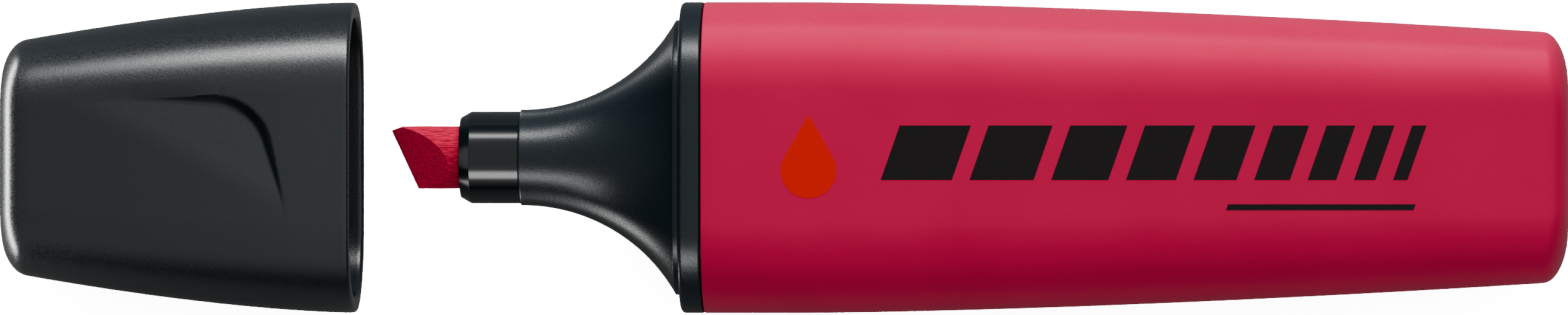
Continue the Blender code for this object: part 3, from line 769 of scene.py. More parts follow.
# %% Front section
def front_section():
    land, skirt = rounded_ring(LAND_INSET), rounded_ring(SKIRT_INSET)
    neck = round_ring(NECK_RADIUS)
    stations = [
        (front_low.x, round_ring(NECK_RADIUS - NECK_BEVEL)),
        (front_low.x + 0.3 * NECK_BEVEL, round_ring(NECK_RADIUS - 0.3 * NECK_BEVEL)),
        (front_low.x + NECK_BEVEL, neck),
    ]
    stations += funnel_rings(neck, rounded_ring(LAND_INSET + EDGE_SOFT), 0)
    stations += [(LAND_X + 0.4 * EDGE_SOFT, rounded_ring(LAND_INSET + 0.3 * EDGE_SOFT))]
    stations += [(LAND_X + EDGE_SOFT, land), (FLANGE_X, land)]
    stations += rounded_edge(FLANGE_X + FLANGE_ROUND, FLANGE_ROUND, 0, 8)
    rear = FLANGE_X + FLANGE_LENGTH
    stations += rounded_edge(rear - FLANGE_REAR_BEVEL, FLANGE_REAR_BEVEL, pi / 2, 4)
    inside = rounded_ring(SKIRT_INSET + SKIRT_WALL)
    tip = rounded_ring(SKIRT_INSET + SKIRT_LEAD_IN)
    stations += [(rear, skirt), (front_high.x - SKIRT_LEAD_IN, skirt)]
    stations += [(front_high.x, tip), (front_high.x, inside), (rear, inside)]
    bore = round_ring(SHANK_BORE)
    stations += reversed(funnel_rings(bore, rounded_ring(LAND_INSET + FUNNEL_WALL), FUNNEL_WALL))
    stations.append((front_low.x, bore))
    return loft("front_moulding", stations, black_plastic)


front = finish_piece(front_section(), "marker", "black_plastic", "front_section")

# %% [markdown]
# ## Turned pieces
# The nozzle grips the nib, and the seal inside the cap closes round the nozzle so that the nib can't dry.
# Both are round all the way, so each is a profile of distance and radius, spun about the axis in code. That
# gives even quads and a clean pole, where a Boolean or a Screw modifier would need cleaning up.


# %% Turn a profile
def turned(name, profile, finish, segments=96):
    """Spins (x, radius) points about the axis into a closed solid."""
    bm = bmesh.new()
    rings = []
    for x, radius in profile:
        if radius == 0:  # a pole is one point
            rings.append([bm.verts.new((x, 0, AXIS_Z))] * segments)
            continue
        angles = [2 * pi * k / segments for k in range(segments)]
        rings.append([bm.verts.new((x, radius * cos(a), AXIS_Z + radius * sin(a))) for a in angles])
    closed = rings if profile[0][1] == 0 else rings + rings[:1]
    for ring, following in pairwise(closed):
        for i in range(segments):
            j = (i + 1) % segments
            corners = dict.fromkeys((ring[i], ring[j], following[j], following[i]))
            bm.faces.new(corners)
    bmesh.ops.recalc_face_normals(bm, faces=bm.faces)
    obj = object_from(bm, name)
    obj.data.materials.append(finish)
    return obj


# %% [markdown]
# A real edge is never quite sharp, and a polished one draws a thin bright line. Each corner of the nozzle's
# profile is cut back to a tiny arc. A point close beside each arc keeps smooth shading on the arc alone, so
# that the flats beside it stay flat to the light.

# %% Soften a profile
BESIDE = 1.3  # how far off the extra points lie, for a cut of 1


def softened(profile, soft, steps=3):
    """Cuts each corner of a closed profile back to a small arc, with a point beside each end of it."""
    points = []
    for i, here in enumerate(profile):
        here, before, after = Vector(here), Vector(profile[i - 1]), Vector(profile[(i + 1) % len(profile)])
        cut = min(soft, (before - here).length / 3, (after - here).length / 3)
        back, ahead = (before - here).normalized() * cut, (after - here).normalized() * cut
        points.append(tuple(here + BESIDE * back))
        for step in range(steps + 1):
            t = step / steps
            points.append(tuple(here + back * (1 - t) ** 2 + ahead * t * t))
        points.append(tuple(here + BESIDE * ahead))
    return points


# %% Nozzle
NIB_RADIUS = nib_high.y
NIB_BORE = 2.83 * MM
SHANK_RADIUS = 3.35 * MM
NOZZLE_EDGE = 0.04 * MM
NECK_GAP = 0.02 * MM  # the fine seam where the nozzle meets the funnel's neck
NOZZLE_CHAMFER = (0.9 * MM, 0.51 * MM)  # along the axis, and off the radius


def nozzle_piece():
    along, off = NOZZLE_CHAMFER
    step_x = front_low.x - NECK_GAP
    profile = [
        (nozzle_high.x, NIB_BORE),
        (nozzle_high.x, SHANK_RADIUS),
        (step_x, SHANK_RADIUS),
        (step_x, NOZZLE_RADIUS),
        (nozzle_low.x + along, NOZZLE_RADIUS),
        (nozzle_low.x, NOZZLE_RADIUS - off),
        (nozzle_low.x, NIB_BORE),
    ]
    return turned("nozzle", softened(profile, NOZZLE_EDGE), nozzle_plastic, 128)


nozzle = finish_piece(nozzle_piece(), "marker", "polished_black_plastic", "nib_holder")

# %% [markdown]
# The seal is a soft cup with a slope at its mouth that guides the nozzle in. It is only seen by looking into
# the cap, but without it the cap would be an empty hole.

# %% Inner seal
SEAL_WALL = 0.9 * MM
SEAL_FLOOR = 0.8 * MM
SEAL_LEAD_IN = 0.3 * MM
SEAL_ROUND = 0.1 * MM


def seal_piece():
    radius = seal_high.y
    bore = radius - SEAL_WALL
    floor_x = seal_low.x + SEAL_FLOOR
    profile = [
        (floor_x, 0),
        (floor_x, bore - 2 * SEAL_ROUND),
        (floor_x + 2 * SEAL_ROUND, bore),
        (seal_high.x - SEAL_LEAD_IN, bore),
        (seal_high.x - 0.8 * SEAL_ROUND, bore + SEAL_LEAD_IN),
        (seal_high.x, bore + SEAL_LEAD_IN + SEAL_ROUND),
        (seal_high.x, radius - SEAL_ROUND),
        (seal_high.x - SEAL_ROUND, radius),
        (seal_low.x + 2 * SEAL_ROUND, radius),
        (seal_low.x, radius - 2 * SEAL_ROUND),
        (seal_low.x, 0),
    ]
    return turned("cap_seal", profile, seal_plastic)


finish_piece(seal_piece(), "cap", "seal_plastic", "cap_inner_seal")

# %% [markdown]
# ## Nib
# The rod's front is cut by two slanting facets that meet in the writing edge, and the edge's long corner
# is nipped off. Seen along the axis, that whole front is a height field over a disc, so it is made as
# rows of points whose x comes from the cuts. A little noise, fixed in space, roughens it as fibres do.

# %% Nib sizes
NIB_SLANT = radians(24.9)
NIB_FACET_ANGLE = radians(37.5)
NIB_EDGE = 0.12 * MM
NIB_TRIM_DEPTH = 0.37 * MM
NIB_TRIM_ANGLE = radians(20)
NIB_TAIL_RADIUS = 1.8 * MM
NIB_TAIL_CONE = 2.0 * MM
NIB_TAIL_X = front_high.x
NIB_ROWS = 36
NIB_COLUMNS = 72
NIB_STATIONS = 40
NIB_CORNER_Y = NIB_RADIUS - NIB_TRIM_DEPTH


def cut_face(y, z):
    """The x where the felt begins, over the point (y, z) of the rod's section."""
    facet = max(abs(z) - NIB_EDGE / 2, 0) / tan(NIB_FACET_ANGLE)
    edge_x = nib_low.x + NIB_CORNER_Y * tan(NIB_SLANT)
    wedge = edge_x + (facet - y * sin(NIB_SLANT)) / cos(NIB_SLANT)
    trim = nib_low.x + (y - NIB_CORNER_Y) / tan(NIB_TRIM_ANGLE)
    return max(wedge, trim)


edge_start, edge_end = (cut_face(y, 0) / MM for y in (NIB_CORNER_Y, -NIB_RADIUS))
print(f"the writing edge runs from x {edge_start:.1f} to {edge_end:.1f} mm")


# %% The cut front
def cut_rows(bm):
    """Rows of points over the rod's section, each at the x where the felt begins."""
    rows = []
    for row in range(-NIB_ROWS, NIB_ROWS + 1):
        z = NIB_RADIUS * sin(row / NIB_ROWS * pi / 2)
        reach = sqrt(max(NIB_RADIUS**2 - z**2, 0))
        if abs(row) == NIB_ROWS:
            rows.append([bm.verts.new((cut_face(0, z), 0, z))] * (NIB_COLUMNS + 1))
            continue
        across = [-reach * cos(column / NIB_COLUMNS * pi) for column in range(NIB_COLUMNS + 1)]
        rows.append([bm.verts.new((cut_face(y, z), y, z)) for y in across])
    return rows


# %% [markdown]
# Behind the cuts the rod is rings that follow the front's rim back to the straight section, close together
# near the cuts, where the fibres show. Its tail is thinner, where it is pushed into the ink store.


# %% Nib mesh
def nib_mesh(bm):
    rows = cut_rows(bm)
    for row, following in pairwise(rows):
        for (a, b), (d, c) in zip(pairwise(row), pairwise(following)):
            bm.faces.new(dict.fromkeys((a, b, c, d)))
    rim = [row[-1] for row in rows] + [row[0] for row in rows[-2:0:-1]]
    straight_end = NIB_TAIL_X - NIB_TAIL_CONE
    rings = [rim]
    for step in range(NIB_STATIONS + 1):
        share = 0.02 + 0.98 * (step / NIB_STATIONS) ** 1.3
        rings.append([
            bm.verts.new((v.co.x + (straight_end - v.co.x) * share, v.co.y, v.co.z)) for v in rim
        ])
    tail = NIB_TAIL_RADIUS / NIB_RADIUS
    for x, scale in ((NIB_TAIL_X, tail), (nib_high.x, tail)):
        rings.append([bm.verts.new((x, v.co.y * scale, v.co.z * scale)) for v in rim])
    for ring, following in pairwise(rings):
        for i, vert in enumerate(ring):
            j = (i + 1) % len(ring)
            bm.faces.new((vert, ring[j], following[j], following[i]))
    bm.faces.new(rings[-1])
    bmesh.ops.recalc_face_normals(bm, faces=bm.faces)
    bm.normal_update()


# %% [markdown]
# The rod's side gets long bundles of fibre along the axis, and the cut faces get short tufts. Each point's
# normal tells which of the two it is, as in the felt's material. Only what stands out of the nozzle is
# roughened, and the noise mostly digs in, so that the rod keeps its size.

# %% Fibres
FIBRE_RELIEF = 0.022 * MM
STRANDS_PER_METRE = Vector((700, 6000, 6000))
TUFTS_PER_METRE = Vector((3500, 5000, 5000))
TUFT_OFFSET = Vector((7, 3, 1))  # keeps the two noises apart


def roughen(bm):
    for v in bm.verts:
        if v.co.x >= nozzle_low.x:
            continue
        cut = min(max((-v.normal.x - 0.2) / 0.3, 0), 1)
        strand = noise.noise(v.co * STRANDS_PER_METRE)
        broken = noise.noise(v.co * TUFTS_PER_METRE + TUFT_OFFSET)
        v.co += v.normal * FIBRE_RELIEF * (strand * (1 - cut) + 0.9 * broken * cut - 0.5)


def felt_nib():
    bm = bmesh.new()
    nib_mesh(bm)
    roughen(bm)
    bmesh.ops.translate(bm, vec=(0, 0, AXIS_Z), verts=bm.verts)
    nib = object_from(bm, "felt_nib")
    nib.data.materials.append(felt)
    return nib


finish_piece(felt_nib(), "marker", "inked_felt", "nib")

# %% [markdown]
# ## Cap
# The cap's shell is wrapped from a sheet like the barrel, in the other direction and with close stations
# where the finger recess will lie, because a shape that is pressed in later needs points to press.

# %% Cap sizes
CAP_WALL = 1.4 * MM
CAP_LENGTH = cap_high.x - cap_low.x
CAP_END_WIDTH = 19.5 * MM
CAP_THICK_FOR = 4.0 * MM
CAP_ROUND = (2.0 * MM, 2.9 * MM, 2.9 * MM)
CAP_MOUTH_BEVEL = 0.3 * MM
FIT_GAP = 0.3 * MM  # free space round the seal and the ink store
CAP_END_THICKNESS = 2 * (seal_high.y + FIT_GAP + CAP_WALL)
RECESS_STARTS = 4.2 * MM  # from the mouth, where the close stations begin
RECESS_GRID = 0.15 * MM


def cap_halves(x):
    """Half the cap's width and thickness at x."""
    distance = cap_high.x - x
    width = tapered(distance, 2 * HALF_WIDTH, CAP_END_WIDTH, 0, CAP_LENGTH)
    thick = tapered(distance, 2 * HALF_THICKNESS, CAP_END_THICKNESS, CAP_THICK_FOR, CAP_LENGTH)
    return width / 2, thick / 2


print(f"the cap narrows to {2 * cap_halves(cap_low.x)[0] / MM:.1f} mm")


# %% Cap shell
def cap_shell():
    recess_ends = CAP_LENGTH - CAP_ROUND[0] - 1 * MM
    rows = round((recess_ends - RECESS_STARTS) / RECESS_GRID)
    distances = [RECESS_STARTS * step / 8 for step in range(8)]
    distances += [RECESS_STARTS + (recess_ends - RECESS_STARTS) * step / rows for step in range(rows + 1)]
    distances += end_stations(CAP_LENGTH, CAP_ROUND[0])
    sheet = flat_sheet("cap", distances, turn_steps(14, 76))
    shell = grow(
        sheet,
        WRAP,
        MouthX=cap_high.x,
        Direction=-1.0,
        Length=CAP_LENGTH,
        Width=2 * HALF_WIDTH,
        EndWidth=CAP_END_WIDTH,
        WideFor=0.0,
        Thickness=2 * HALF_THICKNESS,
        EndThickness=CAP_END_THICKNESS,
        ThickFor=CAP_THICK_FOR,
        SideFlat=SIDE_FLAT,
        RoundX=CAP_ROUND[0],
        RoundY=CAP_ROUND[1],
        RoundZ=CAP_ROUND[2],
        EndFace=END_FACE,
        AxisZ=AXIS_Z,
        Finish=cap_plastic,
    )
    return give_wall(face_outwards(shell), CAP_WALL, CAP_MOUTH_BEVEL)


# %% [markdown]
# The finger recess gives the thumb something to pull on. Both broad faces have one: a tilted floor that
# starts at nothing and is deepest under one rounded corner. Its wall is as wide as the floor is deep, so it
# fades out along both edges, and the eye sees a dark crescent. A Boolean would leave a hard step all along,
# so the depth is worked out for every point of the outer face and the point is pushed in by it.

# %% Recess sizes
RECESS_CORNER = (7.3 * MM, 5.35 * MM)  # distance from the mouth, and y
RECESS_DEPTH = 1.05 * MM
RECESS_FADE_TOP = (26.0 * MM, 5.35 * MM)
RECESS_FADE_FRONT = (5.2 * MM, -5.2 * MM)
RECESS_ROUND = 3.9 * MM
RECESS_WALL = 1.4  # width of the wall for each unit of depth
RECESS_EASE = 1.25  # 1 is a flat slope, and more eases the wall into the floor
RECESS_RUN_OUT = 0.12  # share of the floor over which it blends into the face


def recess_depth(here):
    """How deep the recess is at each row of (distance from the mouth, y)."""
    corner, top, front = (np.array(p) for p in (RECESS_CORNER, RECESS_FADE_TOP, RECESS_FADE_FRONT))

    def beside(start, end, toward):
        """Signed distance from the line, positive on the side of the point toward."""
        run = (end - start) / np.linalg.norm(end - start)
        across = np.array([-run[1], run[0]])
        side = 1 if (toward - start) @ across > 0 else -1
        return (here - start) @ across * side

    fade = top - front
    across_fade = np.array([-fade[1], fade[0]]) / np.linalg.norm(fade)
    reach = ((here - front) @ across_fade) / ((corner - front) @ across_fade)
    blend = reach.clip(0) ** 2 / (4 * RECESS_RUN_OUT)
    soft = np.where(reach < 2 * RECESS_RUN_OUT, blend, reach - RECESS_RUN_OUT)
    floor = RECESS_DEPTH * soft / (1 - RECESS_RUN_OUT)
    from_top = np.maximum(RECESS_ROUND - beside(top, corner, front), 0)
    from_front = np.maximum(RECESS_ROUND - beside(front, corner, top), 0)
    inside = RECESS_ROUND - np.hypot(from_top, from_front)
    share = np.clip(inside / (RECESS_WALL * floor + 1e-6), 0, 1)
    return floor * (1 - (1 - share) ** RECESS_EASE)


# %% Finger recess
def press_recess(cap):
    """Presses the recess into the outer face's points, on both broad sides."""
    points = np.empty(len(cap.data.vertices) * 3)
    cap.data.vertices.foreach_get("co", points)
    points = points.reshape(-1, 3)
    away, y = cap_high.x - points[:, 0], points[:, 1]
    height = points[:, 2] - AXIS_Z
    outer = np.array([cap_halves(x)[1] for x in points[:, 0]]) - np.abs(height) < CAP_WALL / 2
    depth = recess_depth(np.stack([away, y], axis=1)) * outer
    points[:, 2] -= np.sign(height) * depth
    cap.data.vertices.foreach_set("co", points.ravel())
    cap.data.update()
    print(f"recess: {int((depth > 0).sum())} points pressed, {depth.max() / MM:.2f} mm deep")
    return cap


cap = finish_piece(press_recess(cap_shell()), "cap", "cap_plastic", "cap_shell")

# %% [markdown]
# ## Fins and ribs
# Four fins hold the seal straight inside the cap, and its floor stands on a small stub. Six ribs down the
# barrel hold the ink store. Each fin or rib is one blade that follows the tapering wall, so one is lofted
# and a tree repeats it: every point gets a copy, flipped about the axis by the signs of its number.


# %% The mirroring tree
def mirror_tree():
    tree, given, out = shape_tree("mirrored blades", Count="count", Finish="material")
    k = add(tree, "GeometryNodeInputIndex").outputs[0]
    odd = add(tree, "ShaderNodeMath", {0: k, 1: 2.0}, operation="MODULO")
    half = add(tree, "ShaderNodeMath", {0: k, 1: 0.5}, operation="MULTIPLY")
    pair = add(tree, "ShaderNodeMath", {0: half}, operation="FLOOR")
    signs = [
        add(tree, "ShaderNodeMapRange", {"Value": which, "To Min": 1.0, "To Max": -1.0})
        for which in (odd, pair)
    ]
    flip = add(tree, "ShaderNodeCombineXYZ", {0: 1.0, 1: signs[0], 2: signs[1]})
    points = add(tree, "GeometryNodePoints", {"Count": given.outputs["Count"]})
    copies = add(
        tree,
        "GeometryNodeInstanceOnPoints",
        {"Points": points, "Instance": given.outputs["Geometry"], "Scale": flip},
    )
    real = add(tree, "GeometryNodeRealizeInstances", {"Geometry": copies})
    finished = add(tree, "GeometryNodeSetMaterial", {"Geometry": real, "Material": given.outputs["Finish"]})
    tree.links.new(finished.outputs[0], out.inputs["Geometry"])
    return tree


MIRROR = mirror_tree()
print("the mirroring tree has", len(MIRROR.nodes), "nodes")

# %% [markdown]
# The blade itself is a loft of four-cornered rings. A block function says how far it reaches at each x, so
# its outer edge follows the wall and sinks a little into it. The tree's flips turn some blades inside out,
# so the result has its normals recalculated.

# %% Blades
BLADE_HALF = 0.5 * MM
BLADE_EMBED = 0.3 * MM  # how far a blade sinks into its wall
BLADE_STATIONS = 16


def blades(name, start, end, block, count, finish):
    """Lofts one blade from start to end, then mirrors it. Block gives (y low, y high, z low, z high) at x."""
    bm = bmesh.new()
    rings = []
    for step in range(BLADE_STATIONS + 1):
        x = start + (end - start) * step / BLADE_STATIONS
        y0, y1, z0, z1 = block(x)
        rings.append([bm.verts.new((x, y, z)) for y, z in ((y0, z0), (y1, z0), (y1, z1), (y0, z1))])
    for ring, following in pairwise(rings):
        for i, vert in enumerate(ring):
            j = (i + 1) % len(ring)
            bm.faces.new((vert, ring[j], following[j], following[i]))
    bm.faces.new(rings[0])
    bm.faces.new(rings[-1])
    made = grow(object_from(bm, name), MIRROR, Count=count, Finish=finish)
    made.data.transform(Matrix.Translation((0, 0, AXIS_Z)))
    bm = bmesh.new()
    bm.from_mesh(made.data)
    bmesh.ops.recalc_face_normals(bm, faces=bm.faces)
    bm.to_mesh(made.data)
    bm.free()
    return made


# %% Cap fins and stub
FIN_Z = 2.0 * MM
FIN_SETBACK = 2.0 * MM
STUB_RADIUS = 2.5 * MM
CAP_INNER_X = cap_low.x + CAP_WALL


def fin_block(x):
    outer = cap_halves(x)[0] - CAP_WALL + BLADE_EMBED
    return seal_high.y + FIT_GAP, outer, FIN_Z - BLADE_HALF, FIN_Z + BLADE_HALF


fin_start = CAP_INNER_X - BLADE_EMBED
fins = blades("cap_fins", fin_start, seal_high.x - FIN_SETBACK, fin_block, 4, cap_plastic)
finish_piece(fins, "cap", "cap_plastic")
stub_profile = [(fin_start, 0), (fin_start, STUB_RADIUS), (seal_low.x, STUB_RADIUS), (seal_low.x, 0)]
finish_piece(turned("cap_stub", stub_profile, cap_plastic, 48), "cap", "cap_plastic")

# %% [markdown]
# In the barrel the same blades reach in from the wall until they touch the ink store, which they hold so
# that it can't rattle and so that air can pass along it.

# %% Barrel ribs
RIB_HEIGHT = 0.5 * MM  # least height, at the ink store's end
BROAD_RIB_Y = 3.5 * MM
store_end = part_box("reservoir_film")[1].x
rib_margin = BARREL_WALL + RIB_HEIGHT
store_half_width, store_half_thickness = (half - rib_margin for half in barrel_halves(store_end))


def broad_rib_block(x):
    outer = barrel_halves(x)[1] - BARREL_WALL + BLADE_EMBED
    return BROAD_RIB_Y - BLADE_HALF, BROAD_RIB_Y + BLADE_HALF, store_half_thickness, outer


def narrow_rib_block(x):
    outer = barrel_halves(x)[0] - BARREL_WALL + BLADE_EMBED
    return store_half_width, outer, -BLADE_HALF, BLADE_HALF


rib_start = front_high.x + FIT_GAP
rib_end = barrel_high.x - BARREL_ROUND[0]
for name, block, count in (("broad_ribs", broad_rib_block, 4), ("narrow_ribs", narrow_rib_block, 2)):
    finish_piece(blades(name, rib_start, rib_end, block, count, crimson_plastic), "marker", "crimson_plastic")

# %% [markdown]
# ## Print on the barrel
# The broad face is pad printed. Here the print is a plain sign of what the nib draws: nine slanted bars
# that get narrower by an even step, a fine line under them, and a red drop for the ink's shade. The bars
# repeat by a rule, so a tree makes them: points in a row, one bar on each, all laid on the tapering face.
# A real coat is a real thickness, if a small one, so the print is geometry and not a picture on the barrel.

# %% The tree of bars
INK_LIFT = 0.012 * MM  # top of the ink over the barrel's face
INK_COAT = 0.020 * MM  # the ink's whole thickness, which starts just under the face


def bars_tree():
    sizes = "First Narrowing Gap Height Slant StartX MiddleY MouthX Length Thickness EndThickness ThickFor"
    inputs = {label: "value" for label in f"{sizes} Top".split()}
    tree, given, out = shape_tree("printed bars", Count="count", **inputs, Finish="material")
    given = given.outputs

    def calc(operation, *values):
        return add(tree, "ShaderNodeMath", dict(enumerate(values)), operation=operation).outputs[0]

    k = add(tree, "GeometryNodeInputIndex").outputs[0]
    width = calc("SUBTRACT", given["First"], calc("MULTIPLY", k, given["Narrowing"]))
    pitch = calc("MULTIPLY_ADD", k, calc("ADD", given["First"], given["Gap"]), given["StartX"])
    pairs = calc("MULTIPLY", calc("MULTIPLY", k, calc("SUBTRACT", k, 1.0)), 0.5)
    start = calc("SUBTRACT", pitch, calc("MULTIPLY", pairs, given["Narrowing"]))
    row = add(tree, "ShaderNodeCombineXYZ", {0: start, 1: given["MiddleY"]})
    points = add(tree, "GeometryNodePoints", {"Count": given["Count"], "Position": row})
    sheet = add(tree, "GeometryNodeMeshGrid", {"Vertices X": 13, "Vertices Y": 3})
    bar = add(tree, "GeometryNodeTransform", {"Geometry": sheet, "Translation": (0.5, 0, 0)})
    scale = add(tree, "ShaderNodeCombineXYZ", {0: width, 1: given["Height"], 2: 1.0})
    bars = add(tree, "GeometryNodeInstanceOnPoints", {"Points": points, "Instance": bar, "Scale": scale})
    real = add(tree, "GeometryNodeRealizeInstances", {"Geometry": bars})

    place = add(tree, "ShaderNodeSeparateXYZ", {0: add(tree, "GeometryNodeInputPosition")}).outputs
    above = calc("SUBTRACT", place["Y"], given["MiddleY"])
    x = calc("MULTIPLY_ADD", above, given["Slant"], place["X"])
    thick = add(tree, "GeometryNodeGroup", node_tree=TAPER)
    for label, value in (
        ("Distance", calc("SUBTRACT", x, given["MouthX"])),
        ("Full", given["Thickness"]),
        ("End", given["EndThickness"]),
        ("Full For", given["ThickFor"]),
        ("Length", given["Length"]),
    ):
        tree.links.new(value, thick.inputs[label])
    z = calc("MULTIPLY_ADD", thick.outputs[0], 0.5, given["Top"])
    laid = add(tree, "ShaderNodeCombineXYZ", {0: x, 1: place["Y"], 2: z})
    moved = add(tree, "GeometryNodeSetPosition", {"Geometry": real, "Position": laid})
    finished = add(tree, "GeometryNodeSetMaterial", {"Geometry": moved, "Material": given["Finish"]})
    tree.links.new(finished.outputs[0], out.inputs["Geometry"])
    return tree


BARS = bars_tree()
print("the tree of bars has", len(BARS.nodes), "nodes")


# %% Printed bars and line
BAR_SLANT = 0.35  # x for each unit of y


def coat_of_ink(obj):
    """Gives a print its thin coat, downwards into the face."""
    coat = obj.modifiers.new("coat", "SOLIDIFY")
    coat.thickness = INK_COAT
    coat.offset = -1
    return plain_mesh(obj)


def printed_bars(name, count, first, narrowing, gap, height, start_x, middle_y):
    """A row of bars. The first is this wide, and each next one is narrower by the narrowing."""
    bars = grow(
        object_from(bmesh.new(), name),
        BARS,
        Count=count,
        First=first,
        Narrowing=narrowing,
        Gap=gap,
        Height=height,
        Slant=BAR_SLANT,
        StartX=start_x,
        MiddleY=middle_y,
        MouthX=barrel_low.x,
        Length=BARREL_LENGTH,
        Thickness=2 * HALF_THICKNESS,
        EndThickness=BARREL_END_THICKNESS,
        ThickFor=BARREL_THICK_FOR,
        Top=AXIS_Z + INK_LIFT,
        Finish=black_ink,
    )
    return finish_piece(coat_of_ink(bars), "marker", "black_plastic")


printed_bars("printed_bars", 9, 6.0 * MM, 0.6 * MM, 1.5 * MM, 4.6 * MM, 9.4 * MM, 0.4 * MM)
printed_bars("printed_fine_line", 1, 15.8 * MM, 0.0, 0.0, 0.5 * MM, 37.8 * MM, -4.2 * MM)

# %% [markdown]
# The drop is one flat outline: a round belly whose tangents meet in the tip. The face is flat where it
# lies, so it needs no tree.

# %% Printed drop
DROP_X = 2.5 * MM
DROP_BELLY = 2.35 * MM  # radius of its round part
DROP_TIP = 4.7 * MM  # from the belly's middle to the tip
DROP_MIDDLE_Y = -1.1 * MM
DROP_STEPS = 40


def printed_drop():
    bm = bmesh.new()
    touch = asin(DROP_BELLY / DROP_TIP)  # above level, where the tangents leave the belly
    outline = [(0, DROP_TIP)]
    for step in range(DROP_STEPS + 1):
        angle = pi - touch + (pi + 2 * touch) * step / DROP_STEPS
        outline.append((DROP_BELLY * cos(angle), DROP_BELLY * sin(angle)))
    top = AXIS_Z + HALF_THICKNESS + INK_LIFT
    bm.faces.new([bm.verts.new((DROP_X + x, DROP_MIDDLE_Y + y, top)) for x, y in outline])
    drop = object_from(bm, "printed_drop")
    drop.data.materials.append(red_ink)
    return finish_piece(coat_of_ink(drop), "marker", "crimson_plastic")


printed_drop()

# %% [markdown]
# ## Camera
# The camera looks straight down at the marker and a little from the barrel's end, so that a sliver of the
# cap's open mouth shows. It stands a metre away with a long lens, as for a catalogue, so that the far ends
# don't look smaller than the middle.

# %% Camera
VIEW_WIDTH = 133.5 * MM  # what the frame holds across, at the height of the axis
CAMERA_DISTANCE = 1036 * MM
CAMERA_YAW = 0.05
SENSOR = 36  # in millimetres, as Blender gives it
MIDDLE_X = (cad_box[0][0] + cad_box[1][0]) / 2

camera = bpy.data.objects.new("camera", bpy.data.cameras.new("camera"))
camera.data.sensor_width = SENSOR
camera.data.lens = SENSOR * CAMERA_DISTANCE / VIEW_WIDTH
camera.data.clip_start = 0.05
camera.location = (
    MIDDLE_X + CAMERA_DISTANCE * sin(CAMERA_YAW),
    0,
    AXIS_Z + CAMERA_DISTANCE * cos(CAMERA_YAW),
)
camera.rotation_euler = (0, CAMERA_YAW, 0)
bpy.context.scene.collection.objects.link(camera)
bpy.context.scene.camera = camera
print(f"lens {camera.data.lens:.0f} mm")

# %% [markdown]
# ## Lights
# Crimson plastic shows mostly its own colour, and black plastic shows hardly anything but reflections, so
# they want different lights. A light can be kept out of reflections, or be seen only as a reflection, and
# it can be linked to the pieces that it is meant for. One function makes every soft box and card.


# %% Soft box
def soft_box(name, place, size, power, aim=None, reflected=True, lights=True, only=()):
    """A rectangular light that faces the marker. It can be kept out of reflections, or be only that."""
    data = bpy.data.lights.new(name, "AREA")
    data.shape = "RECTANGLE"
    data.size, data.size_y = size
    data.energy = power
    obj = bpy.data.objects.new(name, data)
    obj.location = place
    aim = Vector(aim or (place[0], 0, AXIS_Z))
    obj.rotation_euler = (aim - obj.location).to_track_quat("-Z", "Y").to_euler()
    obj.visible_camera = False
    obj.visible_glossy = reflected
    obj.visible_diffuse = lights
    if only:
        group = bpy.data.collections.new(f"{name} lights")
        for piece in only:
            group.objects.link(piece)
        obj.light_linking.receiver_collection = group
    bpy.context.scene.collection.objects.link(obj)
    radiance = power / (pi * size[0] * size[1])
    print(f"{name}: {power:.2g} W, as bright as {radiance:.2g} W to the square metre and steradian")
    return obj


def across(angle, distance, x=0.0):
    """A place over the marker, turned about its axis from upright towards its far side."""
    return x, distance * sin(radians(angle)), AXIS_Z + distance * cos(radians(angle))


def millimetres(*values):
    return tuple(value * MM for value in values)


# %% [markdown]
# Three soft boxes light the surfaces. The key is high on the far side and lights the broad face, the second
# is low on the same side and brightens the far shoulder, and a weak one keeps the near side from going black.

# %% Light on the surfaces
soft_box("key", across(57, 0.6), (0.6, 0.3), 2.9, reflected=False)
soft_box("far_side", across(85, 0.6), (0.6, 0.1), 4.6, reflected=False)
soft_box("near_side", across(-80, 0.6), (0.6, 0.2), 0.6, reflected=False)

# %% [markdown]
# The rest is drawn with reflections. A long narrow box draws the streak down the black shoulders, a broad one
# draws the light band on the barrel's shoulder, and one on each side draws the two lines on the nozzle. Small
# cards stand close to the curved pieces that mirror them: two in front of the nozzle's chamfer, two beside
# the funnel's flanks, and a long low one past the cap for its bright end edge.

# %% Reflections
CAP_END = cap_low.x / MM
REFLECTIONS = (
    # name, place, width and height, watts, what it faces, the pieces that mirror it
    ("shoulder_streak", across(55, 0.6, 0.12), (0.66, 0.12), 7.2, None, (cap, front)),
    ("shoulder_panel", across(72, 0.6, 0.05), (0.9, 0.42), 3.0, None, (barrel,)),
    ("nozzle_streak", across(56, 0.6, -0.06), (0.3, 0.10), 1.3, None, (nozzle,)),
    ("nozzle_front", millimetres(-34, 0, 16.6), millimetres(8, 3), 8e-5, (-27, 0, 12.5), (nozzle,)),
    ("nozzle_glint", millimetres(-33.4, -9.3, 12.4), millimetres(3, 3), 17e-5, (-27, -2, 12), (nozzle,)),
    ("front_streak", across(-45, 0.5, -0.1), (0.4, 0.15), 2.1, None, (front, nozzle)),
    ("funnel_card_far", millimetres(-25, 14.5, 2), millimetres(5, 3.5), 3e-4, (-10, 8, 12), (front,)),
    ("funnel_card", millimetres(-27, -19, 7), millimetres(2.5, 9), 1e-3, (-14, -6, 12), (front,)),
    ("end_card", millimetres(CAP_END - 45, 0, 8), millimetres(130, 13), 0.26, (CAP_END, 0, 8), (cap,)),
)
for name, place, size, power, faces, mirrors in REFLECTIONS:
    aim = millimetres(*faces) if faces else None
    soft_box(name, place, size, power, aim, lights=False, only=mirrors)

# %% [markdown]
# ## Room and table
# A catalogue studio lights its white background apart, until it burns out to pure white, and keeps that light
# off the object. Here the camera sees the room and the table brighter than they shine on the marker, which
# does the same. The room is a soft dome that stops above the horizon and is weaker past the cap, so that
# the black sides mirror something dark.

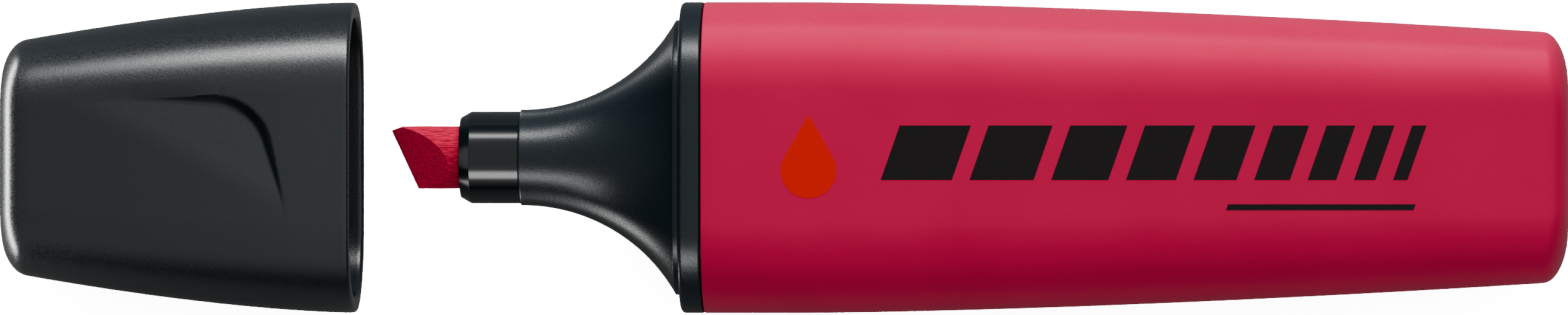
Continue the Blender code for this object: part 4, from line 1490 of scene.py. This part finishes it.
# %% Room
DOME_DARK, DOME_BRIGHT = 0.01, 0.7
DOME_STARTS, DOME_FULL = 0.24, 0.6  # heights on a unit sphere
ROOM_SEEN = 12.0


def room():
    world = bpy.data.worlds.new("room")
    world.use_nodes = True
    tree = world.node_tree
    direction = add(tree, "ShaderNodeSeparateXYZ", {0: add(tree, "ShaderNodeTexCoord").outputs["Generated"]})
    dome = add(
        tree,
        "ShaderNodeMapRange",
        {
            "Value": direction.outputs["Z"],
            "From Min": DOME_STARTS,
            "From Max": DOME_FULL,
            "To Min": DOME_DARK,
            "To Max": DOME_BRIGHT,
        },
    )
    side = add(
        tree, "ShaderNodeMapRange", {"Value": direction.outputs["X"], "From Min": -0.85, "From Max": 0.0}
    )
    lit = add(tree, "ShaderNodeMath", {0: dome, 1: side}, operation="MULTIPLY")
    seen = add(tree, "ShaderNodeLightPath").outputs["Is Camera Ray"]
    strength = add(tree, "ShaderNodeMapRange", {"Value": seen, "To Min": lit, "To Max": ROOM_SEEN})
    tree.links.new(strength.outputs[0], tree.nodes["Background"].inputs["Strength"])
    tree.nodes["Background"].inputs["Color"].default_value = (1, 1, 1, 1)
    return world


bpy.context.scene.world = room()
print(f"the room is {ROOM_SEEN:.0f} to the camera and at most {DOME_BRIGHT} to the marker")

# %% [markdown]
# The table is a sheet of matt white laminate. It gives the eye nothing but the marker's faint shadow, so it
# is a plain diffuse surface. It lies just under the marker, so that the two don't share a plane.

# %% Table
TABLE_BOUNCE = 0.22
TABLE_SEEN = 45.0
TABLE_DROP = 0.05 * MM


def white_laminate():
    material = bpy.data.materials.new("matt white laminate")
    material.use_nodes = True
    tree = material.node_tree
    tree.nodes.clear()
    seen = add(tree, "ShaderNodeLightPath").outputs["Is Camera Ray"]
    bright = add(tree, "ShaderNodeMapRange", {"Value": seen, "To Min": TABLE_BOUNCE, "To Max": TABLE_SEEN})
    surface = add(tree, "ShaderNodeBsdfDiffuse", {"Color": bright})
    add(tree, "ShaderNodeOutputMaterial", {"Surface": surface})
    return material


bm = bmesh.new()
bmesh.ops.create_grid(bm, x_segments=1, y_segments=1, size=3)
table = object_from(bm, "table")
table.data.transform(Matrix.Translation((0, 0, -TABLE_DROP)))
table.data.materials.append(white_laminate())
print(f"table: {table.dimensions.x:.0f} m across")
